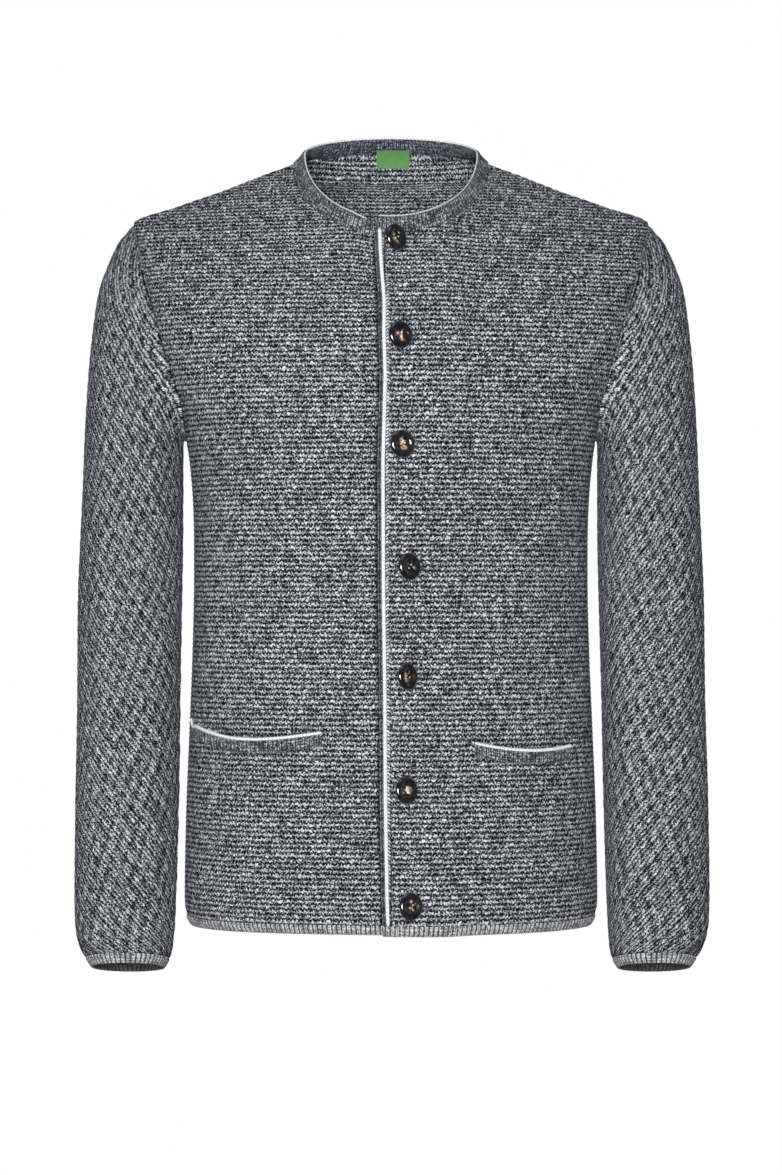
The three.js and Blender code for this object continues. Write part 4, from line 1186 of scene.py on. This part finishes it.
frontEdging = edgeCord("edging_rolled", "edging", bandKnit, "band_knit", "front_edging")
frontPiping = edgeCord("piping_white", "piping", whiteCord, "white_cord", "front_piping")

# Neckband and its white tipping
neckLook = {"columns": 640, "rows": 8, "corner": 7.5, "rib": 3.1, "ribHeight": 0.34, "proud": 0.4,
            "wall": 3.0, "tippingHalf": (0.8, 0.75), "tippingEndX": -21.0}


def neckSurface():
    start = -np.arcsin(-edgeX(-60.0) / torsoRings[ringRow["neckSeam"]][0])
    end = 2 * np.pi + np.arcsin(lap["underEdgeX"] / torsoRings[ringRow["neckSeam"]][0])
    turn = np.linspace(start, end, neckLook["columns"] + 1)
    low = ringRow["neckSeam"] + seamStep
    bottom = torsoPoint(turn, low)
    distance = runLength(bottom)
    bandHeight = np.linalg.norm(torsoPoint(0.0, 17.0) - torsoPoint(0.0, 16.0))
    top = ringRow["bandTop"] - rollIn(distance, neckLook["corner"], neckLook["corner"] / bandHeight)
    share = np.linspace(0, 1, neckLook["rows"] + 1)[:, None]
    cloth = torsoPoint(turn[None], mix(low, top[None], share))
    normal = gridNormals(cloth)
    x = cloth[..., 0]
    onLeft, onRight = turn < np.pi / 2, turn > 1.5 * np.pi
    lifted = np.where(onLeft[None], lapLift(x), 0.0)
    cloth = cloth + normal * lifted[..., None]
    cloth[..., 2] -= np.where(onRight[None], underDrop(x, -65.0), 0.0)
    u = np.broadcast_to(distance[None], x.shape)
    w = np.broadcast_to(share * bandHeight, x.shape)
    return cloth, normal, u, w


def makeNeckband():
    cloth, normal, u, w = neckSurface()
    ribs = neckLook["ribHeight"] * np.cos(2 * np.pi * u / neckLook["rib"])
    bandHeight = w[-1, 0]
    edge = rollIn(bandHeight - w, 1.6, 0.9) + rollIn(w, 1.0, 0.5) + rollIn(u, 1.8, 1.0)
    outer = cloth + normal * (neckLook["proud"] + ribs - edge)[..., None]
    inner = (cloth - normal * neckLook["wall"])[::4, ::4]
    uv = np.stack([u, w], axis=-1)
    piece = clothWall("band_neck", outer, inner, uv, uv[::4, ::4],
                      masks={"inside": (0 * u, 1.0)}, material=bandKnit)
    return finishPiece(piece, "band_knit", "neckband")


def makeNeckTipping():
    cloth, normal = neckSurface()[:2]
    top, below, facing = cloth[-1], cloth[-2], normal[-1]
    late = 3 * len(top) // 4
    stop = late + np.argmax(top[late:, 0] > neckLook["tippingEndX"])
    up = unit(top - below)
    path = top - facing * (neckLook["wall"] / 2 - 0.3) + up * 0.9
    chosen = slice(2, stop)
    return layCord("tipping_neck", path[chosen], facing[chosen], up[chosen], *neckLook["tippingHalf"], 2.6,
                   whiteCord, "white_cord", "neck_tipping", around=8)


neckband, neckTipping = makeNeckband(), makeNeckTipping()
print("neckband, tipping and front edge made")


# Hem trims
hemSpan = {"right": ("front", 260), "left": ("front", 260), "back": ("back", 480)}


def makeHemTrim(part):
    face, columns = hemSpan[part]
    share = np.linspace(0, 1, 9)
    rows = mix(float(ringRow["hemEdge"]), ringRow["hemSeam"] - seamStep, share)
    side = sideTurn(rows, face)
    if part == "left":
        start, end = -np.arcsin((-edgeX(-668.0) / 181.0) ** 1.25) + 0 * side, side
    elif part == "right":
        start, end = -side, np.arcsin((lap["underEdgeX"] / 181.0) ** 1.25) + 0 * side
    else:
        start, end = np.pi - side, np.pi + side
    fine = np.linspace(0, 1, 4000)
    middle = torsoPoint(mix(start[4], end[4], fine), rows[4])
    spacing = np.interp(np.linspace(0, 1, columns + 1), lengthShares(middle), fine)
    cloth = torsoPoint(mix(start[:, None], end[:, None], spacing[None]), rows[:, None])
    normal = unit(gridNormals(cloth) * (1, 1, 0.4))
    x, z = cloth[..., 0], cloth[..., 2]
    out = bodyFolds(x, np.full(z.shape, -664.0), face) + (lapLift(x) if part == "left" else 0.0)
    cloth = cloth + normal * out[..., None]
    u = rowLengths(cloth)[4:5] + 0 * x
    w = np.broadcast_to((share * 9.5)[:, None], x.shape)
    ribs = trimLook["ribHeight"] * np.cos(2 * np.pi * u / trimLook["rib"])
    edge = rollIn(w, trimLook["rollWidth"], trimLook["roll"]) + rollIn(9.5 - w, 1.4, 0.6)
    ends = rollIn(np.minimum(u, u[:, -1:] - u), 1.5, 0.8 if part != "back" else 0.3)
    outer = cloth + normal * (trimLook["proud"] + ribs - edge - ends)[..., None]
    inner = (cloth - normal * (trimLook["wall"] - rollIn(w, 2.0, 0.9))[..., None])[::4, ::4]
    uv = np.stack([u, w], axis=-1)
    piece = clothWall(f"trim_hem_{part}", outer, inner, uv, uv[::4, ::4],
                      masks={"inside": (0 * u, 1.0)}, material=lightTrim)
    return finishPiece(piece, "light_trim", f"hem_trim_{part}")


hemTrims = {part: makeHemTrim(part) for part in hemSpan}


# Pocket welts and their white tippings
def pocketPieces(side):
    x, z = fromPicture(pockets[side], side)
    dense = np.linspace(0, 1, 200)
    at = lengthShares(np.stack([x, z], axis=1))
    x, z = np.interp(dense, at, x), np.interp(dense, at, z)
    smooth = np.polyfit(x, z, 4)
    z = np.where((dense > 0.08) | (side == "left"), np.polyval(smooth, x), z)
    order = slice(None) if side == "left" else slice(None, None, -1)
    x, z = x[order], z[order]
    down = np.linspace(-pocketLook["weltHeight"], -0.4, 9)
    height = z[None] + down[:, None]
    point, normal = frontSurface(np.broadcast_to(x[None], height.shape), height, side)
    u = rowLengths(point)[4:5, 0:1] + rowLengths(point)[4:5]
    u = np.broadcast_to(u, height.shape)
    w = np.broadcast_to((down + pocketLook["weltHeight"])[:, None], height.shape)
    edges = rollIn(np.minimum(u, u[:, -1:] - u), 4.0, 1.0) + rollIn(w, 3.0, 1.0)
    ribs = 0.18 * np.cos(2 * np.pi * u / trimLook["rib"])
    outer = point + normal * (0.55 + pocketLook["weltOut"] * (1 - edges) + ribs * (1 - edges))[..., None]
    outer, uv = outer[:, :197], np.stack([u, w], axis=-1)[:, :197]
    inner = (point - normal * 0.6)[::4, :197:4]
    welt = clothWall(f"welt_pocket_{side}", outer, inner, uv, uv[::4, ::4],
                     masks={"inside": (np.zeros(uv.shape[:2]), 0.0)}, material=bandKnit)
    finishPiece(welt, "band_knit", f"pocket_welt_{side}")
    line, facing = frontSurface(x, z + 1.2, side)
    upward = unit(frontSurface(x, z + 2.2, side)[0] - line)
    cord = layCord(f"tipping_pocket_{side}", line + facing * pocketLook["cordOut"], upward, facing,
                   pocketLook["cordWidth"] / 2, 1.35, 3.0, whiteCord, "white_cord", f"pocket_tipping_{side}")
    return welt, cord


pocketParts = {side: pocketPieces(side) for side in ("right", "left")}
print("hem trims and pockets made")


# Buttons
buttonLook = {"radius": 11.8, "thickness": 4.4, "back": 0.72, "around": 72, "hole": 1.9, "holeRadius": 0.85,
              "holeDepth": 0.9}
# how far each faces to the side and up, and how its two holes are turned, in degrees
buttonTurns = [[45, 9, 20], [33, 7, 75], [30, 4, 15], [40, 5, 50], [47, 4, 160], [38, 5, 100], [34, 5, 35]]
# radius and height of the profile, as shares of the radius and thickness: back, rounded rim, dished face
buttonProfile = np.array([
    [0.0, 0.0], [0.4, 0.0], [0.72, 0.0], [0.88, 0.1], [0.97, 0.26], [1.0, 0.45], [0.985, 0.62], [0.945, 0.78],
    [0.89, 0.9], [0.83, 0.97], [0.77, 1.0], [0.71, 0.98], [0.64, 0.91], [0.55, 0.8], [0.44, 0.7], [0.0, 0.62],
])


def makeButton(number, side, rise, holeTurn, material):
    low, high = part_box(f"button_{number}")
    centre = np.array((low + high) / 2) / metre
    a, b = np.radians(side), np.radians(rise)
    facing = np.array([np.sin(a) * np.cos(b), -np.cos(a) * np.cos(b), np.sin(b)])
    right = unit(np.cross(facing, np.array([0.0, 0.0, 1.0]))) * -1
    up = np.cross(facing, right)
    look = buttonLook
    rounds = np.concatenate([np.linspace(0, len(buttonProfile) - 2, 27)[1:],
                             len(buttonProfile) - 2 + np.linspace(0, 1, 16)[1:-1]])
    section = between(buttonProfile, rounds)
    turn = np.linspace(0, 2 * np.pi, look["around"], endpoint=False)[None]
    r = section[:, :1] * look["radius"]
    h = section[:, 1:] * look["thickness"] + 0 * turn
    planeX, planeY = r * np.cos(turn), r * np.sin(turn)
    hole = np.radians(holeTurn)
    thread = np.zeros(planeX.shape)
    face = (rounds > 10)[:, None]
    for sign in (-1, 1):
        holeX, holeY = sign * look["hole"] * np.cos(hole), sign * look["hole"] * np.sin(hole)
        away = np.hypot(planeX - holeX, planeY - holeY)
        pit = 1 - smoothstep(look["holeRadius"] * 0.6, look["holeRadius"] * 1.15, away)
        h = h - np.where(face, look["holeDepth"] * pit, 0.0)
        fill = 1 - smoothstep(look["holeRadius"] * 0.55, look["holeRadius"] * 0.85, away)
        thread = np.maximum(thread, np.where(face, fill, 0.0))
        h = h + np.where(face, 0.7 * fill, 0.0)
    h = h - look["thickness"] / 2
    points = centre + planeX[..., None] * right + planeY[..., None] * up + h[..., None] * facing
    numbers = np.arange(planeX.size).reshape(planeX.shape)
    quads = gridQuads(numbers, closed=True)
    poles = centre + np.array([-look["thickness"] / 2, 0.1 * look["thickness"]])[:, None] * facing
    following = np.roll(numbers, -1, axis=1)
    count = planeX.size
    caps = np.concatenate([
        np.stack([np.full(look["around"], count), following[0], numbers[0]], axis=1),
        np.stack([np.full(look["around"], count + 1), numbers[-1], following[-1]], axis=1)])
    middle = np.concatenate([(face * (1 - smoothstep(2.5, 6.5, r + 0 * turn))).ravel(), [0, 1]])
    threads = np.concatenate([thread.ravel(), [0, 0]])
    piece = makePiece(f"horn_button_{number}", np.concatenate([points.reshape(-1, 3), poles]), quads, caps,
                      uv=np.zeros((count + 2, 2)), masks={"middle": middle, "thread": threads},
                      material=material)
    return finishPiece(piece, "horn", f"button_{number}")


hornMaterial = makeHorn()
hornButtons = [makeButton(i + 1, *row, hornMaterial) for i, row in enumerate(buttonTurns)]


# Buttonholes: a lens of close stitches round a slit, level with each button and reaching past its right side
holeLook = {"before": 6.0, "after": 3.4, "halfHeight": 1.7, "slit": 0.55, "lip": 0.55}


def makeButtonhole(number, material):
    low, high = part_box(f"button_{number}")
    middle = (low + high) / 2 / metre
    start, end = middle[0] - holeLook["before"], high[0] / metre + holeLook["after"]
    along = np.linspace(0, 1, 41)
    across = np.linspace(-1, 1, 17)
    half = holeLook["halfHeight"] * np.sqrt(np.clip(1 - (2 * along - 1) ** 6, 0.02, 1))
    sag = -1.3 * smoothstep(0.5, 1.0, along)
    x = np.broadcast_to(mix(start, end, along)[None], (17, 41))
    z = middle[2] - 1.0 + sag[None] + across[:, None] * half[None]
    point, normal = frontSurface(x, z)
    inside = 1 - smoothstep(0.18, 0.42, np.abs(across))[:, None] * np.ones((1, 41))
    inside = inside * smoothstep(0.02, 0.08, along) * smoothstep(0.99, 0.93, along)
    rise = holeLook["lip"] * np.sqrt(np.clip(1 - across**2, 0, 1))[:, None] * (1 - 0.9 * inside) + 0.12
    outer = point + normal * rise[..., None]
    inner = (point - normal * 0.5)[::4, ::4]
    uv = np.stack([x, z], axis=-1)
    piece = clothWall(f"buttonhole_{number}", outer, inner, uv, uv[::4, ::4],
                      masks={"slit": (inside, 0.0)}, material=material)
    return finishPiece(piece, "band_knit")


buttonholeCloth = makeButtonholeCloth()
buttonholes = [makeButtonhole(i + 1, buttonholeCloth) for i in range(7)]


# The plain label inside the back, sewn along its top
labelLook = {"halfWidth": 15.5, "shift": 1.9, "height": 15.5, "raise": 2.6, "thickness": 0.8, "below": 3.6}


def makeLabel():
    neckRow = float(ringRow["neckSeam"])
    rise = torsoPoint(np.pi, neckRow)[2] - torsoPoint(np.pi, neckRow - 1)[2]
    lowest = neckRow - (labelLook["height"] - labelLook["raise"]) / rise
    rows = np.linspace(lowest, neckRow + labelLook["raise"] / 13, 17)
    x = np.linspace(labelLook["halfWidth"], -labelLook["halfWidth"], 33) + labelLook["shift"]
    ring = between(torsoRings, rows)
    turn = np.pi - np.arcsin(np.abs(x)[None] / ring[:, :1]) * np.sign(x)[None]
    cloth = torsoPoint(turn, rows[:, None])
    normal = gridNormals(cloth)
    share = np.linspace(0, 1, 17)[:, None]
    curl = 0.8 * (1 - share) ** 2 * ((x[None] - labelLook["shift"]) / labelLook["halfWidth"]) ** 2
    back = labelLook["below"] + curl
    outer = cloth - normal * back[..., None]
    fine = cloth - normal * (back + labelLook["thickness"])[..., None]
    w = np.broadcast_to(share * labelLook["height"], back.shape)
    uv = np.stack([np.broadcast_to(x[None], back.shape), w], -1)
    piece = clothWall("label_green", fine[:, ::-1], outer[::4, ::-4], uv, uv[::4, ::4],
                      material=makeLabelCloth())
    return finishPiece(piece, "green_label", "neck_label")


label = makeLabel()
print("buttons, buttonholes and label made")


# The cuts: the size and area of each panel, sleeve, the neckband and the label, printed
def declareCut(piece):
    width, length, area = cuts[piece.name]
    width * metre
    length * metre
    area * metre**2
    print(f"{piece.name}: cut {width:.0f} by {length:.0f} mm, {area / 1e6:.4f} square metres")


bandU, bandW = neckSurface()[2:]
bandLength, bandHeight = bandU[0, -1], bandW[-1, 0]
cuts[neckband.name] = [bandLength, bandHeight, bandLength * bandHeight]
labelWidth, labelLength = 2 * labelLook["halfWidth"], labelLook["height"] + labelLook["raise"]
cuts[label.name] = [labelWidth, labelLength, labelWidth * labelLength]
declareCut(panels["left"])
declareCut(panels["right"])
declareCut(panels["back"])
for number, side in enumerate(("right", "left")):
    declareCut(sleeves[side])
declareCut(neckband)
declareCut(label)

counts = {}
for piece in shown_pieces():
    sides = np.zeros(len(piece.data.polygons), np.int32)
    piece.data.polygons.foreach_get("loop_total", sides)
    counts[piece.name] = int((sides - 2).sum())
most = max(counts, key=counts.get)
print("triangles in all", sum(counts.values()), "and most in one piece", (most, counts[most]))

# Soft studio lights; the camera sees a white world, which lights the cloth only faintly
# name, place, what it points at, width and height, power and colour
lights = [
    ["key", (-0.25, -3.3, -0.25), (0.0, 0.0, -0.35), (0.9, 0.9), 116.0, (1.0, 0.995, 0.99)],
    ["fill", (0.45, -3.2, -0.35), (0.0, 0.0, -0.4), (0.9, 1.6), 34.0, (0.96, 0.98, 1.0)],
    ["top", (0.0, -0.9, 2.0), (0.0, 0.0, -0.3), (1.8, 1.2), 5.0, (1.0, 1.0, 1.0)],
    ["strip", (-1.9, -1.9, -0.1), (0.0, -0.1, -0.35), (0.14, 1.5), 1.0, (1.0, 1.0, 1.0)],
    ["back_left", (1.3, 3.2, 0.3), (0.0, 0.0, -0.35), (0.9, 0.9), 60.0, (1.0, 1.0, 1.0)],
    ["back_right", (-1.3, 3.2, 0.3), (0.0, 0.0, -0.35), (0.9, 0.9), 60.0, (1.0, 1.0, 1.0)],
]
# The world's colour and strength, as the camera sees it and as it lights
surrounds = {"seen": ((1.0, 1.0, 1.0, 1.0), 1.0), "lighting": ((0.93, 0.95, 1.0, 1.0), 0.06)}


def makeLights():
    for name, place, target, size, power, tint in lights:
        data = bpy.data.lights.new(name, "AREA")
        data.shape = "RECTANGLE"
        data.size, data.size_y = size
        data.energy = power
        data.color = tint
        lamp = bpy.data.objects.new(name, data)
        lamp.location = place
        lamp.rotation_euler = (Vector(target) - Vector(place)).to_track_quat("-Z", "Y").to_euler()
        scene.collection.objects.link(lamp)


def makeWorld():
    world = bpy.data.worlds.new("studio")
    world.use_nodes = True
    tree = world.node_tree
    tree.nodes.clear()
    seen, lighting = (addNode(tree, "ShaderNodeBackground", {"Color": tint, "Strength": strength}).outputs[0]
                      for tint, strength in surrounds.values())
    direct = addNode(tree, "ShaderNodeLightPath").outputs["Is Camera Ray"]
    both = addNode(tree, "ShaderNodeMixShader", {0: direct, 1: lighting, 2: seen}).outputs[0]
    addNode(tree, "ShaderNodeOutputWorld", {0: both})
    scene.world = world
    scene.view_settings.view_transform = "Standard"


makeLights()
makeWorld()
print("lights made")
